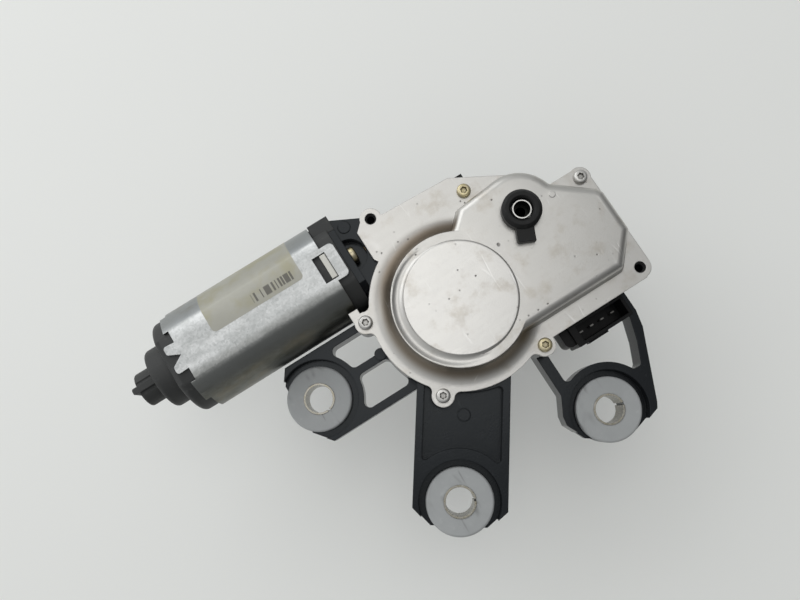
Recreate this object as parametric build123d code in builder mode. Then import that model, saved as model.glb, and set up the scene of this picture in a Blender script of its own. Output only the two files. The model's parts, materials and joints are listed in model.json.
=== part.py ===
from build123d import *
from math import acos, atan2, cos, degrees, hypot, pi, radians, sin, sqrt, tan
import os

os.makedirs("parts", exist_ok=True)

# Rear-window wiper motor, in millimetres.
# Origin: the output shaft's axis, at the plane where the left and right mounting sleeves rest.
# +X runs along the motor axis from the can towards the gearbox, +Z points at the gearbox cover.

# Clearances
run_gap = 0.05          # radial play of a turning shaft in its bush
seat_gap = 0.1          # play of a piece set in a pocket
air_gap = 0.3           # play between pieces that pass each other
mesh_gap = 0.6          # sideways play of meshing teeth, along the pitch line

# Worm gear
worm_module = 1.25
wheel_teeth = 51
worm_pitch_r = 6.125
worm_turns = 4.5
wheel_x = -38.4
wheel_y = -16.0
motor_z = 16.0
wheel_face = 11.0
wheel_pitch_r = worm_module * wheel_teeth / 2
worm_pitch = pi * worm_module
motor_y = wheel_y + wheel_pitch_r + worm_pitch_r
tooth_add = 0.8 * worm_module
tooth_ded = 1.05 * worm_module

# Linkage: crank pin on the wheel, toothed rod, link between sector pin and output shaft
gear_module = 1.0
pinion_teeth = 16
sector_teeth = 24
sector_teeth_kept = 7
crank_r = 7.0
crank_rest = 194.0      # crank angle at the park end of the sweep, in degrees
rod_len = 36.0
pinion_r = gear_module * pinion_teeth / 2
sector_r = gear_module * sector_teeth / 2
link_len = pinion_r + sector_r
crank_x = wheel_x + crank_r * cos(radians(crank_rest))
crank_y = wheel_y + crank_r * sin(radians(crank_rest))
crank_reach = hypot(crank_x, crank_y)
link_corner = degrees(acos((link_len**2 + crank_reach**2 - rod_len**2) / (2 * link_len * crank_reach)))
link_angle = degrees(atan2(crank_y, crank_x)) + link_corner
sector_x = link_len * cos(radians(link_angle))
sector_y = link_len * sin(radians(link_angle))

# Heights of the gearbox
pan_base = 3.5
pan_floor = 2.5
rim_z = 25.5
gasket_t = 0.7
flange_t = 1.8
plateau_h = 7.0
plateau_round = 3.6
cover_wall = 2.0
disc_step = 0.8
mark_r = 2.5            # round marks of the castings
mark_h = 0.35
floor_z = pan_base + pan_floor
seam_z = rim_z + gasket_t
flange_z = seam_z + flange_t
plateau_z = flange_z + plateau_h
ceiling_z = plateau_z - cover_wall

# Outline of the gearbox
case_wall = 1.8
tunnel_wall = 1.3
case_play = 0.425       # between the wheel's teeth and the round wall
case_r = wheel_pitch_r + tooth_add + case_play + case_wall
dome_r = 17.6           # round part about the output shaft
case_left = wheel_x - 19.2
case_right = 33.2
case_low = -47.3
case_step = 4.2
ear_r = 4.4
ear_reach = case_r + 2.1
corner_in = 4.2         # from the right wall to the screws in its two corners
tunnel_top = motor_y + 6.4

# Round parts of the cover
rim_flat = 1.6          # flat left outside the gutter
ridge_r = 26.4
gutter_r = case_r - rim_flat
disc_r = ridge_r - 3.6
trough_r = 3.0
trough_depth = 0.8
trough_tilt = 2.0       # the trough runs out on the side of the output shaft

# Screws
screw_r = 1.5
screw_len = 9.0
screw_head_r = 2.8
screw_head_h = 2.2
open_hole_r = 2.3
column_r = 3.4
column_low = 9.0
flange_screw_r = 2.0
flange_screw_head_r = 3.5
flange_screw_offset = 8.5
pocket_half = 6.8

# Output shaft
shaft_r = 5.0
shaft_bore_r = 3.0
shaft_low = -52.0
shaft_top = 31.6
collar_r = 6.6
pinion_z = 23.7
pinion_h = 4.5
boss_r = 10.5
boss_low = -22.0
bush_r = 7.0
bush_len = 11.0
tube_bore_r = 2.0
tube_cup_r = 3.75
tube_cup_wall = 0.6
tube_top = 38.5
seal_r = 7.8
seal_neck_r = 6.2
seal_bore_r = 4.3
seal_top = 40.0

# Linkage plates
rod_z = 24.0
rod_t = 4.0
link_t = 2.0
pin_r = 3.0
rod_eye_r = 6.0
link_z = rod_z + rod_t + 2 * run_gap + air_gap

# Wheel
hub_r = 14.0
hub_top = 22.6
axle_r = 3.0
axle_top = 22.5
clip_t = 0.6
clip_r = 4.5
rim_inner_r = 27.0

# Motor
can_r = 21.3
flat_depth = 2.5        # of the can's two flats
can_flat = can_r - flat_depth
can_wall = 1.2
can_front = -73.9
can_rear = -139.4
tongue_end = can_front + 5.5
tongue_half = 7.3
finger_len = 4.9
flange_back = can_front + 6.2
flange_face = flange_back + 3.0
bearing_r = 6.5
bearing_len = 7.0
cap_rim_x = can_rear - 7.6
drum_r = 12.85
drum_x = cap_rim_x - 8.4
knob_r = 7.2
knob_x = drum_x - 8.2
rib_w = 2.6
flute_gap = 2.2
rear_bearing_x = drum_x + 1.4
front_bearing_x = flange_face + 5.7
arm_shaft_r = 3.0
arm_shaft_rear = drum_x - 0.6
arm_shaft_front = wheel_x + 19.0
magnet_t = 5.3
magnet_gap = 0.8
core_r = can_r - can_wall - magnet_t - magnet_gap
core_front = can_front - 23.1
core_len = can_front - can_rear - 31.5
core_mid = core_front - core_len / 2
commutator_r = 9.0
commutator_len = 12.0
commutator_mid = can_front - 10.1
can_in_r = can_r - can_wall
can_in_flat = can_flat - can_wall
flange_r = can_in_r - 1.0
flange_flat = can_in_flat - 2.6

# Mounting arms: centre of each grommet, height of its sleeve foot, direction in which the fork opens
grommet_r = 13.2
grommet_groove_r = 9.0
grommet_h = 12.0
fork_t = 4.0
sleeve_bore_r = 5.5
sleeve_wall = 0.8
sleeve_r = sleeve_bore_r + sleeve_wall
sleeve_h = 12.5
sleeve_slit = 1.0
left_mount = (-105.6, -18.0)
lower_mount = (-79.2, -81.0)
right_mount = (-9.2, -83.4)
lower_rise = 10.0
left_open = 180.0
lower_open = -124.5
right_open = -109.0
fork_depth = 9.6
arm_low = 1.2
arm_top = 13.0
arm_side = motor_y - can_r - 0.7    # upper edge of the left arm, along the can
pocket_r = 15.9
ring_r = 18.2
rib_t = 3.4

# Connector
plug_left = -7.4
plug_right = 18.0
plug_low = -56.4
plug_base = 5.0
plug_top = 22.0
plug_wall = 1.3
blade_pitch = 5.0
blade_w = 1.6
blade_t = 0.6
blade_depth = 8.0       # from the socket's mouth down to the blades
blade_y = -51.6
board_t = 1.6
board_z = 8.2


def across(x):
    """Plane square to the motor axis: its x runs along Y and its y along Z."""
    return Plane(origin=(x, motor_y, motor_z), x_dir=(0, 1, 0), z_dir=(1, 0, 0))


def level(z, x=0.0, y=0.0, turn=0.0):
    """Level plane at a height, with its origin at a point and its x turned by an angle."""
    along = (cos(radians(turn)), sin(radians(turn)), 0)
    return Plane(origin=(x, y, z), x_dir=along, z_dir=(0, 0, 1))


def polar(radius, angle, x=0.0, y=0.0):
    """Point at a radius and an angle in degrees about a centre."""
    return (x + radius * cos(radians(angle)), y + radius * sin(radians(angle)))


# Ears of the seam: neck, two corners on the right, then three round the wheel
ears = [
    (wheel_x - 11.7, motor_y + 8.5),
    (case_right - corner_in + 0.3, case_step - 4.1),
    (case_right - corner_in - 0.3, case_low + 4.8),
    polar(ear_reach, -59.7, wheel_x, wheel_y),
    polar(ear_reach, -131.9, wheel_x, wheel_y),
    polar(ear_reach, 161.1, wheel_x, wheel_y),
]
inner_screw = (-12.8, motor_y - 1.8)


def flat_sided(radius, flat):
    """Circle cut by two level flats, in the active sketch."""
    Circle(radius)
    Rectangle(2 * radius + 2, 2 * flat, mode=Mode.INTERSECT)


def involute_tooth(radius, teeth, centre, x=0.0, y=0.0):
    """Points over one tooth, root to root, with involute flanks thinned by the mesh play."""
    base = radius * cos(radians(20))
    tip = radius + 0.9 * gear_module
    root = radius - 1.2 * gear_module
    half = 90 / teeth - degrees(mesh_gap / 4 / radius)
    level_out = tan(radians(20)) - radians(20)
    side = []
    for r in (max(base, root + 0.1), radius, (radius + tip) / 2, tip):
        slope = acos(base / r)
        side.append((r, half + degrees(level_out - tan(slope) + slope)))
    side.insert(0, (root, side[0][1]))
    left = [polar(r, centre - a, x, y) for r, a in side]
    right = [polar(r, centre + a, x, y) for r, a in reversed(side)]
    return left + right


# Plan of the gearbox: walls without ears, then the seam outline with its ears, then the inside
wall_points = [
    (case_left, motor_y - 6.2), (case_left, tunnel_top), (ears[0][0] - 2.9, tunnel_top + 4.4), ears[0],
    (ears[0][0] + 5.6, tunnel_top + 1.2), (-15.3, tunnel_top - 0.1), polar(dome_r - 0.1, 72), (0, 0),
    (dome_r - 0.6, case_step), (ears[1][0], case_step), (case_right, ears[1][1]), (case_right, ears[2][1]),
    (ears[2][0], case_low), (ears[3][0] + 4.0, case_low), (wheel_x, wheel_y),
]
with BuildSketch() as wall_plan:
    with BuildLine():
        Polyline(wall_points[::-1], close=True)
    make_face()
    with Locations((wheel_x, wheel_y)):
        Circle(case_r)
    Circle(dome_r)

with BuildSketch() as case_plan:
    add(wall_plan.sketch)
    with Locations(ears):
        Circle(ear_r)
    necks = [
        v for v in case_plan.vertices()
        if any(abs(hypot(v.X - x, v.Y - y) - ear_r) < 0.01 for x, y in ears[3:])
        and abs(hypot(v.X - wheel_x, v.Y - wheel_y) - case_r) < 0.01
    ]
    fillet(necks, 2.5)

with BuildSketch() as inside_plan:
    add(wall_plan.sketch)
    offset(amount=-case_wall)

# Gearbox housing: one black casting of pan, shaft boss, worm tunnel, motor flange and three arms
with BuildPart() as gearbox_housing:
    with BuildSketch(level(pan_base)):
        add(wall_plan.sketch)
    extrude(amount=rim_z - pan_base)
    fillet(gearbox_housing.edges().group_by(Axis.Z)[0], 2.0)
    with BuildSketch(level(column_low)):
        with Locations(ears):
            Circle(ear_r - 0.4)
    extrude(amount=rim_z - column_low)
    # worm tunnel, bulging past the wall on the far side
    tunnel_r = worm_pitch_r + tooth_add + air_gap + tunnel_wall
    with BuildSketch(across(case_left)):
        Circle(tunnel_r)
        with Locations((0, rim_z - motor_z + 5)):
            Rectangle(3 * tunnel_r, 10, mode=Mode.SUBTRACT)
    extrude(amount=arm_shaft_front + 3.4 - case_left)
    # neck and round flange that carry the motor
    with BuildSketch(level(pan_base + 1.5)):
        with BuildLine():
            Polyline(
                (flange_face, motor_y - 18.0), (flange_face, motor_y + 17.6),
                (ears[0][0] - 2.9, motor_y + 11.6),
                (ears[0][0], motor_y + 6.0), (ears[0][0], motor_y - 12.0),
                (case_left - 2.4, motor_y - 18.0), close=True,
            )
        make_face()
    extrude(amount=rim_z - pan_base - 1.5)
    with BuildSketch(across(flange_back)):
        flat_sided(flange_r, flange_flat)
    extrude(amount=flange_face - flange_back)
    with BuildSketch(level(rim_z)):
        add(case_plan.sketch)
        offset(amount=air_gap)
    extrude(amount=20, mode=Mode.SUBTRACT)
    # shaft boss with four ribs
    with BuildSketch(level(boss_low)):
        Circle(boss_r)
    extrude(amount=pan_base - boss_low + 1.0)
    for turn in (20, 110, 200, 290):
        with BuildSketch(Plane(origin=(0, 0, 0), x_dir=(cos(radians(turn)), sin(radians(turn)), 0),
                               z_dir=(sin(radians(turn)), -cos(radians(turn)), 0))):
            with BuildLine():
                Polyline((boss_r - 1, boss_low + 4), (boss_r + 0.5, boss_low + 4),
                         (dome_r - 1.5, pan_base + 1),
                         (boss_r - 1, pan_base + 1), close=True)
            make_face()
        extrude(amount=1.2, both=True)
    # left arm: a ladder of three ribs to the fork
    arm_foot = left_mount[1] - 17.6
    with BuildSketch(level(arm_low)):
        with BuildLine():
            Polyline(
                (wheel_x, arm_side), (left_mount[0] - 5.4, arm_side),
                (left_mount[0] - fork_depth, arm_side - 6.0),
                (left_mount[0] - fork_depth, arm_foot + 7.6), (left_mount[0] - 3.4, arm_foot),
                (wheel_x, arm_foot),
                close=True,
            )
        make_face()
    extrude(amount=arm_top - arm_low)
    with BuildSketch(level(arm_low)) as ladder:
        ladder_left = left_mount[0] + 8.6
        strut = left_mount[1] - 0.5
        gap_top = min(arm_side, left_mount[1] + ring_r - 0.2) - rib_t
        for low, high in ((strut + rib_t, gap_top), (arm_foot + rib_t, strut)):
            with Locations(((ladder_left + wheel_x) / 2, (low + high) / 2)):
                Rectangle(wheel_x - ladder_left, high - low)
        with Locations(left_mount):
            Circle(ring_r, mode=Mode.SUBTRACT)
        with Locations((wheel_x, wheel_y)):
            Circle(case_r, mode=Mode.SUBTRACT)
        fillet(ladder.vertices(), 2.4)
    extrude(amount=arm_top - arm_low, mode=Mode.SUBTRACT)
    # right arm: two struts to the fork, round an open gap
    with BuildSketch(level(arm_low)):
        with BuildLine():
            Polyline(
                (-22.6, -40.0), (-22.6, -68.7), (-26.6, -76.0), (-27.2, -79.8), (-23.2, -88.2),
                (-20.7, -90.0),
                (-3.5, -96.2), (7.0, -93.1), (8.4, -91.0), (20.9, -63.0), (22.4, -56.0),
                (22.4, -40.0), close=True,
            )
        make_face()
    extrude(amount=arm_top - arm_low)
    with BuildSketch(level(arm_low)) as window:
        with BuildLine():
            Polyline(
                (-22.6 + rib_t + 1, case_low), (-22.6 + rib_t + 1, -74.0), (11.5, -75.5), (15.6, -66.5),
                (plug_right + 0.5, -57.5), (plug_right + 0.5, case_low), close=True,
            )
        make_face()
        with Locations(right_mount):
            Circle(ring_r + 0.8, mode=Mode.SUBTRACT)
        fillet(window.vertices().filter_by_position(Axis.Y, -200, case_low - 1.0), 2.0)
    extrude(amount=arm_top - arm_low, mode=Mode.SUBTRACT)
    # lower arm: a broad channel with side rails, set higher than the other two
    lower_top = arm_top + lower_rise + 1.0
    with BuildSketch(level(arm_low + lower_rise, *lower_mount, lower_open)):
        with BuildLine():
            Polyline((-76, -18.2), (2.8, -18.2), (fork_depth, -11.0), (fork_depth, 11.0), (2.8, 18.2),
                     (-76, 18.2),
                     close=True)
        make_face()
    extrude(amount=lower_top - arm_low - lower_rise)
    reach = hypot(lower_mount[0] - wheel_x, lower_mount[1] - wheel_y)
    for low, high in ((lower_top - 4.5, lower_top), (arm_low + lower_rise, arm_low + lower_rise + 3.5)):
        with BuildSketch(level(low, *lower_mount, lower_open)) as channel:
            with Locations((-reach / 2 - 6, 0)):
                Rectangle(reach - 12, 36.4 - 2 * rib_t + 1)
            Circle(ring_r + 2.0, mode=Mode.SUBTRACT)
            with Locations((-reach, 0)):
                Circle(case_r, mode=Mode.SUBTRACT)
            fillet(channel.vertices(), 1.4)
        extrude(amount=high - low, mode=Mode.SUBTRACT)
    # round ejector marks on the left arm's middle rib, the neck and the lower arm's web
    for x, y, top in (
        (wheel_x - 36.7, left_mount[1] + 2.1, arm_top),
        (flange_face + 4.0, motor_y + 11.9, rim_z),
        (lower_mount[0] + 19.2, lower_mount[1] + 26.8, lower_top - 4.5),
    ):
        with BuildSketch(level(top - 2.0)):
            with Locations((x, y)):
                Circle(mark_r)
        extrude(amount=2.0 + mark_h)
    # room beside the round wall for the can and for the end of the brush holder
    with BuildSketch(across(can_front - 8.0)):
        flat_sided(can_r + air_gap, can_flat + air_gap)
    extrude(amount=8.0, mode=Mode.SUBTRACT)
    with BuildSketch(across(can_front)):
        flat_sided(can_in_r, can_in_flat)
    extrude(amount=flange_back - can_front, mode=Mode.SUBTRACT)
    # forks: a round pocket for the grommet's top, a recess below and an open slot for its neck
    for (x, y), rise, turn in (
        (left_mount, 0.0, left_open), (right_mount, 0.0, right_open), (lower_mount, lower_rise, lower_open),
    ):
        fork_low = rise + (sleeve_h - fork_t) / 2
        with BuildSketch(level(fork_low + fork_t, x, y, turn)):
            Circle(pocket_r)
        extrude(amount=20, mode=Mode.SUBTRACT)
        with BuildSketch(level(fork_low, x, y, turn)):
            Circle(pocket_r)
        extrude(amount=-20, mode=Mode.SUBTRACT)
        with BuildSketch(level(fork_low, x, y, turn)):
            Circle(grommet_groove_r)
            with Locations((grommet_r, 0)):
                Rectangle(2 * grommet_r, 2 * grommet_groove_r)
        extrude(amount=fork_t, mode=Mode.SUBTRACT)
    # inside of the pan
    with BuildSketch(level(floor_z)):
        add(inside_plan.sketch)
    extrude(amount=40, mode=Mode.SUBTRACT)
    with BuildSketch(across(case_left + 8)):
        Circle(tunnel_r - tunnel_wall)
        with Locations((0, rim_z - motor_z + 5)):
            Rectangle(3 * tunnel_r, 10, mode=Mode.SUBTRACT)
    extrude(amount=-20.0 - case_left - 8, mode=Mode.SUBTRACT)
    # bearing block, thrust block, shaft boss and screw columns inside
    with BuildSketch(across(front_bearing_x)):
        with Locations((0, (floor_z + rim_z) / 2 - motor_z)):
            Rectangle(2 * tunnel_r - 2, rim_z - floor_z)
    extrude(amount=bearing_len + 1.0)
    with BuildSketch(across(arm_shaft_front + air_gap)):
        with Locations((0, (floor_z + rim_z) / 2 - motor_z - 2)):
            Rectangle(2 * tunnel_r - 4, rim_z - floor_z - 4)
    extrude(amount=4.0)
    with BuildSketch(level(floor_z)):
        with Locations((wheel_x, wheel_y)):
            Circle(case_r - case_wall)
    extrude(amount=40, mode=Mode.SUBTRACT)
    with BuildSketch(level(floor_z)):
        with Locations(inner_screw, *ears[1:3]):
            Circle(column_r)
    extrude(amount=rim_z - floor_z)
    with BuildSketch(level(floor_z)):
        with Locations((wheel_x, wheel_y)):
            Circle(hub_r - 6)
    extrude(amount=motor_z - wheel_face / 2 - floor_z - air_gap)
    # pegs under the circuit board
    with BuildSketch(level(floor_z)):
        with Locations((4, -40), (24, -36), (4, -18), (24, -18)):
            Circle(1.8)
    extrude(amount=board_z - floor_z)
    # bores: output shaft bushes, wheel axle, armature, bearing and thrust pad
    with BuildSketch(level(boss_low)):
        Circle(bush_r)
    extrude(amount=floor_z - boss_low, mode=Mode.SUBTRACT)
    with BuildSketch(level(pan_base + 0.8)):
        with Locations((wheel_x, wheel_y)):
            Circle(axle_r)
    extrude(amount=20, mode=Mode.SUBTRACT)
    with BuildSketch(across(flange_back)):
        Circle(arm_shaft_r + 1.2)
    extrude(amount=30, mode=Mode.SUBTRACT)
    with BuildSketch(across(front_bearing_x + 1.0)):
        Circle(bearing_r)
    extrude(amount=bearing_len, mode=Mode.SUBTRACT)
    with BuildSketch(across(arm_shaft_front + air_gap)):
        Circle(arm_shaft_r)
    extrude(amount=2.0, mode=Mode.SUBTRACT)
    # screw pockets on both sides of the neck, and the screw holes
    for side in (1, -1):
        with BuildSketch(level(motor_z + side * (flange_screw_offset - flange_screw_head_r - 0.5))):
            with Locations((flange_face, motor_y + 0.7)):
                Circle(pocket_half)
                with Locations((-pocket_half, 0)):
                    Rectangle(2 * pocket_half, 2 * pocket_half, mode=Mode.SUBTRACT)
        extrude(amount=side * 20, mode=Mode.SUBTRACT)
        with BuildSketch(across(flange_back)):
            with Locations((0.5, side * flange_screw_offset)):
                Circle(flange_screw_r)
        extrude(amount=flange_face - flange_back, mode=Mode.SUBTRACT)
    with BuildSketch(level(rim_z)):
        with Locations(inner_screw, *ears):
            Circle(screw_r)
    extrude(amount=-screw_len, mode=Mode.SUBTRACT)
    # passage for the connector through the low wall
    with BuildSketch(level(plug_base + 1.5)):
        with Locations(((plug_left + plug_right) / 2, case_low)):
            Rectangle(plug_right - plug_left - 3, 2 * case_wall + 2)
    extrude(amount=8.0, mode=Mode.SUBTRACT)
gearbox_housing.part.label = "gearbox_housing"
export_step(gearbox_housing.part, "parts/gearbox_housing.step")

# Gearbox cover: flange with six ears, raised plateau, concave cove round the wheel and a raised disc
plateau_r = dome_r - 0.6
shoulder = (-20.0, 14.9)
tangent = degrees(atan2(shoulder[1], shoulder[0]) - acos(plateau_r / hypot(*shoulder)))
plateau_points = [
    polar(ridge_r - 0.6, 66.2, wheel_x, wheel_y), shoulder, polar(plateau_r, tangent), (0, 0), polar(plateau_r, 15),
    (case_right - 2.2, -7.4),
    (case_right - 0.6, -10.0), (case_right - 0.6, -28.0), (case_right - 11.4, case_low + 7.0),
    polar(ridge_r - 0.8, -71.8, wheel_x, wheel_y), (wheel_x, wheel_y),
]
tab_side = motor_y - sqrt(can_r**2 - (seam_z - motor_z) ** 2) - 0.7
wheel_axis = Axis((wheel_x, wheel_y, 0), (0, 0, 1))
wheel_section = Plane(origin=(wheel_x, wheel_y, 0), x_dir=(1, 0, 0), z_dir=(0, -1, 0))
with BuildSketch() as plateau_plan:
    with BuildLine():
        Polyline(plateau_points[::-1], close=True)
    make_face()
    Circle(plateau_r)
    with Locations((wheel_x, wheel_y)):
        Circle(ridge_r)
    corners = [v for v in plateau_plan.vertices() if v.X > plateau_r / 2]
    fillet(corners, 2.0)
    # the straight sides run into the ridge in a hollow curve
    ridge_ends = [
        v for v in plateau_plan.vertices() if abs(hypot(v.X - wheel_x, v.Y - wheel_y) - ridge_r) < 0.01
    ]
    fillet(ridge_ends, 4.0)

with BuildPart() as gearbox_cover:
    with BuildSketch(level(flange_z)):
        add(plateau_plan.sketch)
    extrude(amount=plateau_h, taper=8)
    fillet(gearbox_cover.faces().sort_by(Axis.Z)[-1].edges(), plateau_round)
    with BuildSketch(level(seam_z)):
        add(case_plan.sketch)
        # hook tab beside the can
        with BuildLine():
            Polyline(
                (ears[5][0] - 4.0, ears[5][1]), (ears[5][0] - 4.0, tab_side), (ears[5][0], tab_side),
                (ears[5][0], ears[5][1] + 3.9), (ears[5][0] + 3.8, ears[5][1]), close=True,
            )
        make_face()
    extrude(amount=flange_t)
    with BuildSketch(wheel_section):
        with BuildLine():
            Polyline((gutter_r, flange_z), (0, flange_z), (0, plateau_z), (ridge_r, plateau_z))
            TangentArc((gutter_r, flange_z), (ridge_r, plateau_z), tangent=(-1, 0))
        make_face()
    revolve(axis=wheel_axis)
    with BuildSketch(level(plateau_z)):
        with Locations((wheel_x, wheel_y)):
            Circle(disc_r)
    extrude(amount=disc_step)
    fillet(gearbox_cover.faces().sort_by(Axis.Z)[-1].edges(), disc_step * 0.9)
    # trough between disc and ridge, from a leaning ring, deepest on the far side from the shaft
    trough_mid = (disc_r + ridge_r) / 2 - 0.7
    trough_z = plateau_z + trough_r - trough_depth + trough_mid * tan(radians(trough_tilt))
    with Locations(Location((wheel_x, wheel_y, trough_z), (0, -trough_tilt, 0))):
        Torus(trough_mid, trough_r, mode=Mode.SUBTRACT)
    # gate mark of the casting beside the dome
    with BuildSketch(level(plateau_z - 0.5)):
        with Locations((14.0, -0.8)):
            Circle(mark_r / 2)
    extrude(amount=0.5 + mark_h)
    # hollow underside
    with BuildSketch(level(seam_z)):
        add(plateau_plan.sketch)
        offset(amount=-cover_wall)
    extrude(amount=ceiling_z - seam_z, taper=4, mode=Mode.SUBTRACT)
    with BuildSketch(wheel_section):
        inner = gutter_r - cover_wall
        with BuildLine():
            Polyline((0, seam_z), (0, ceiling_z), (ridge_r - cover_wall, ceiling_z), (ridge_r, flange_z),
                     (inner, seam_z), close=True)
        make_face()
    revolve(axis=wheel_axis, mode=Mode.SUBTRACT)
    # holes for the hose seal, the fitted screws and the two open ears
    with BuildSketch(level(seam_z)):
        Circle(seal_neck_r)
        with Locations(inner_screw, ears[1], *ears[3:]):
            Circle(screw_r + seat_gap)
        with Locations(ears[0], ears[2]):
            Circle(open_hole_r)
    extrude(amount=30, mode=Mode.SUBTRACT)
    # room for the can beside the hook tab
    with BuildSketch(across(can_front - 8.0)):
        flat_sided(can_r + air_gap, can_flat + air_gap)
    extrude(amount=8.0, mode=Mode.SUBTRACT)
gearbox_cover.part.label = "gearbox_cover"
export_step(gearbox_cover.part, "parts/gearbox_cover.step")

# Gasket in the seam
with BuildPart() as cover_gasket:
    with BuildSketch(level(rim_z)):
        add(case_plan.sketch)
        add(inside_plan.sketch, mode=Mode.SUBTRACT)
        with Locations((inner_screw[0], inner_screw[1] + 3.6)):
            Rectangle(2 * column_r, 7.2)
        with Locations(inner_screw, *ears):
            Circle(column_r)
        with Locations(inner_screw, *ears):
            Circle(screw_r + seat_gap, mode=Mode.SUBTRACT)
    extrude(amount=gasket_t)
    with BuildSketch(across(can_front - 8.0)):
        flat_sided(can_r + air_gap, can_flat + air_gap)
    extrude(amount=8.0, mode=Mode.SUBTRACT)
cover_gasket.part.label = "cover_gasket"
export_step(cover_gasket.part, "parts/cover_gasket.step")

# Cover screws, three silver and two yellow
for name, spots in (
    ("cover_screws_silver", (ears[1], ears[4], ears[5])),
    ("cover_screws_yellow", (inner_screw, ears[3])),
):
    with BuildPart() as cover_screws:
        with BuildSketch(level(flange_z)):
            with Locations(*spots):
                Circle(screw_head_r)
        extrude(amount=screw_head_h)
        fillet(cover_screws.faces().filter_by(Axis.Z).group_by(Axis.Z)[-1].edges(), 0.7)
        with BuildSketch(level(flange_z)):
            with Locations(*spots):
                Circle(screw_r)
        extrude(amount=-(flange_z - rim_z + screw_len - 1.0))
    cover_screws.part.label = name
    export_step(cover_screws.part, "parts/" + name + ".step")

# Rubber hose seal in the cover, with its tab
shaft_section = Plane(origin=(0, 0, 0), x_dir=(1, 0, 0), z_dir=(0, -1, 0))
with BuildPart() as hose_seal:
    with BuildSketch(shaft_section):
        with BuildLine():
            Polyline(
                (seal_bore_r, ceiling_z - 0.8), (seal_neck_r + 1.2, ceiling_z - 0.8),
                (seal_neck_r + 1.2, ceiling_z),
                (seal_neck_r, ceiling_z), (seal_neck_r, plateau_z), (seal_r, plateau_z),
                (seal_r, seal_top - 1.2),
                (seal_r - 1.2, seal_top), (seal_bore_r + 0.8, seal_top),
                (seal_bore_r, seal_top - 0.8), close=True,
            )
        make_face()
    revolve(axis=Axis.Z)
    with BuildSketch(level(plateau_z, turn=-114.0)) as seal_tab:
        with Locations((9.6, 0)):
            Rectangle(6.4, 7.0)
        fillet(seal_tab.vertices().sort_by(Axis.Y)[0:2], 1.2)
    extrude(amount=seal_top - plateau_z - 1.6)
hose_seal.part.label = "hose_seal"
export_step(hose_seal.part, "parts/hose_seal.step")

# Hollow output shaft with its collar, cone and threaded end
cone_top = boss_low - 13.0
cone_low = cone_top - 8.0
groove_z = boss_low - 1.0 - air_gap
with BuildPart() as output_shaft:
    with BuildSketch(shaft_section):
        with BuildLine():
            Polyline(
                (shaft_bore_r, shaft_low), (shaft_r - 1.5, shaft_low), (shaft_r - 1.0, shaft_low + 0.8),
                (shaft_r - 1.0, cone_low), (shaft_r - 0.8, cone_low), (shaft_r, cone_top),
                (shaft_r, groove_z - clip_t - 0.2), (shaft_r - 0.6, groove_z - clip_t - 0.2),
                (shaft_r - 0.6, groove_z),
                (shaft_r, groove_z), (shaft_r, floor_z + air_gap), (collar_r, floor_z + air_gap),
                (collar_r, pinion_z),
                (shaft_r, pinion_z), (shaft_r, shaft_top), (shaft_bore_r, shaft_top), close=True,
            )
        make_face()
    revolve(axis=Axis.Z)
output_shaft.part.label = "output_shaft"
export_step(output_shaft.part, "parts/output_shaft.step")

# Washer tube through the shaft, with a cup at the hose end
with BuildPart() as washer_tube:
    with BuildSketch(shaft_section):
        with BuildLine():
            Polyline(
                (tube_bore_r, shaft_low - 1.5), (shaft_bore_r - 0.4, shaft_low - 1.5),
                (shaft_bore_r, shaft_low),
                (shaft_bore_r, shaft_top), (tube_cup_r, shaft_top + 1.0), (tube_cup_r, tube_top),
                (tube_cup_r - tube_cup_wall, tube_top), (tube_cup_r - tube_cup_wall, shaft_top + 2.0),
                (tube_bore_r, shaft_top + 2.0), close=True,
            )
        make_face()
    revolve(axis=Axis.Z)
washer_tube.part.label = "washer_tube"
export_step(washer_tube.part, "parts/washer_tube.step")

# Two sintered bushes and the lip seal in the shaft boss
seal_h = 2.0
for name, low, tall, outer in (
    ("upper_shaft_bush", floor_z - bush_len, bush_len, bush_r),
    ("lower_shaft_bush", boss_low + seal_h, bush_len, bush_r),
    ("shaft_seal", boss_low, seal_h, bush_r),
):
    with BuildPart() as shaft_ring:
        with BuildSketch(level(low)):
            Circle(outer)
            Circle(shaft_r + run_gap, mode=Mode.SUBTRACT)
        extrude(amount=tall)
    shaft_ring.part.label = name
    export_step(shaft_ring.part, "parts/" + name + ".step")

# Washer and retaining ring below the boss, and the ring that keeps the link on
with BuildPart() as shaft_washer:
    with BuildSketch(level(groove_z)):
        Circle(boss_r - 2.5)
        Circle(shaft_r, mode=Mode.SUBTRACT)
    extrude(amount=1.0)
shaft_washer.part.label = "shaft_washer"
export_step(shaft_washer.part, "parts/shaft_washer.step")

with BuildPart() as shaft_clip:
    with BuildSketch(level(groove_z)):
        Circle(shaft_r + 1.8)
        Circle(shaft_r - 0.6, mode=Mode.SUBTRACT)
        with Locations((shaft_r + 1, 0)):
            Rectangle(6, 3.0, mode=Mode.SUBTRACT)
    extrude(amount=-clip_t)
shaft_clip.part.label = "shaft_clip"
export_step(shaft_clip.part, "parts/shaft_clip.step")

with BuildPart() as link_clip:
    with BuildSketch(level(link_z + link_t + seat_gap)):
        Circle(shaft_r + 1.8)
        Circle(shaft_r, mode=Mode.SUBTRACT)
    extrude(amount=clip_t)
link_clip.part.label = "link_clip"
export_step(link_clip.part, "parts/link_clip.step")

# Output pinion, pressed on the shaft, with one tooth on the line to the sector pin
with BuildPart() as output_pinion:
    pinion_points = []
    for i in range(pinion_teeth):
        pinion_points += involute_tooth(pinion_r, pinion_teeth, link_angle + 360 * i / pinion_teeth)
    with BuildSketch(level(pinion_z)):
        with BuildLine():
            Polyline(pinion_points, close=True)
        make_face()
        Circle(shaft_r, mode=Mode.SUBTRACT)
    extrude(amount=pinion_h)
output_pinion.part.label = "output_pinion"
export_step(output_pinion.part, "parts/output_pinion.step")

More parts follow.
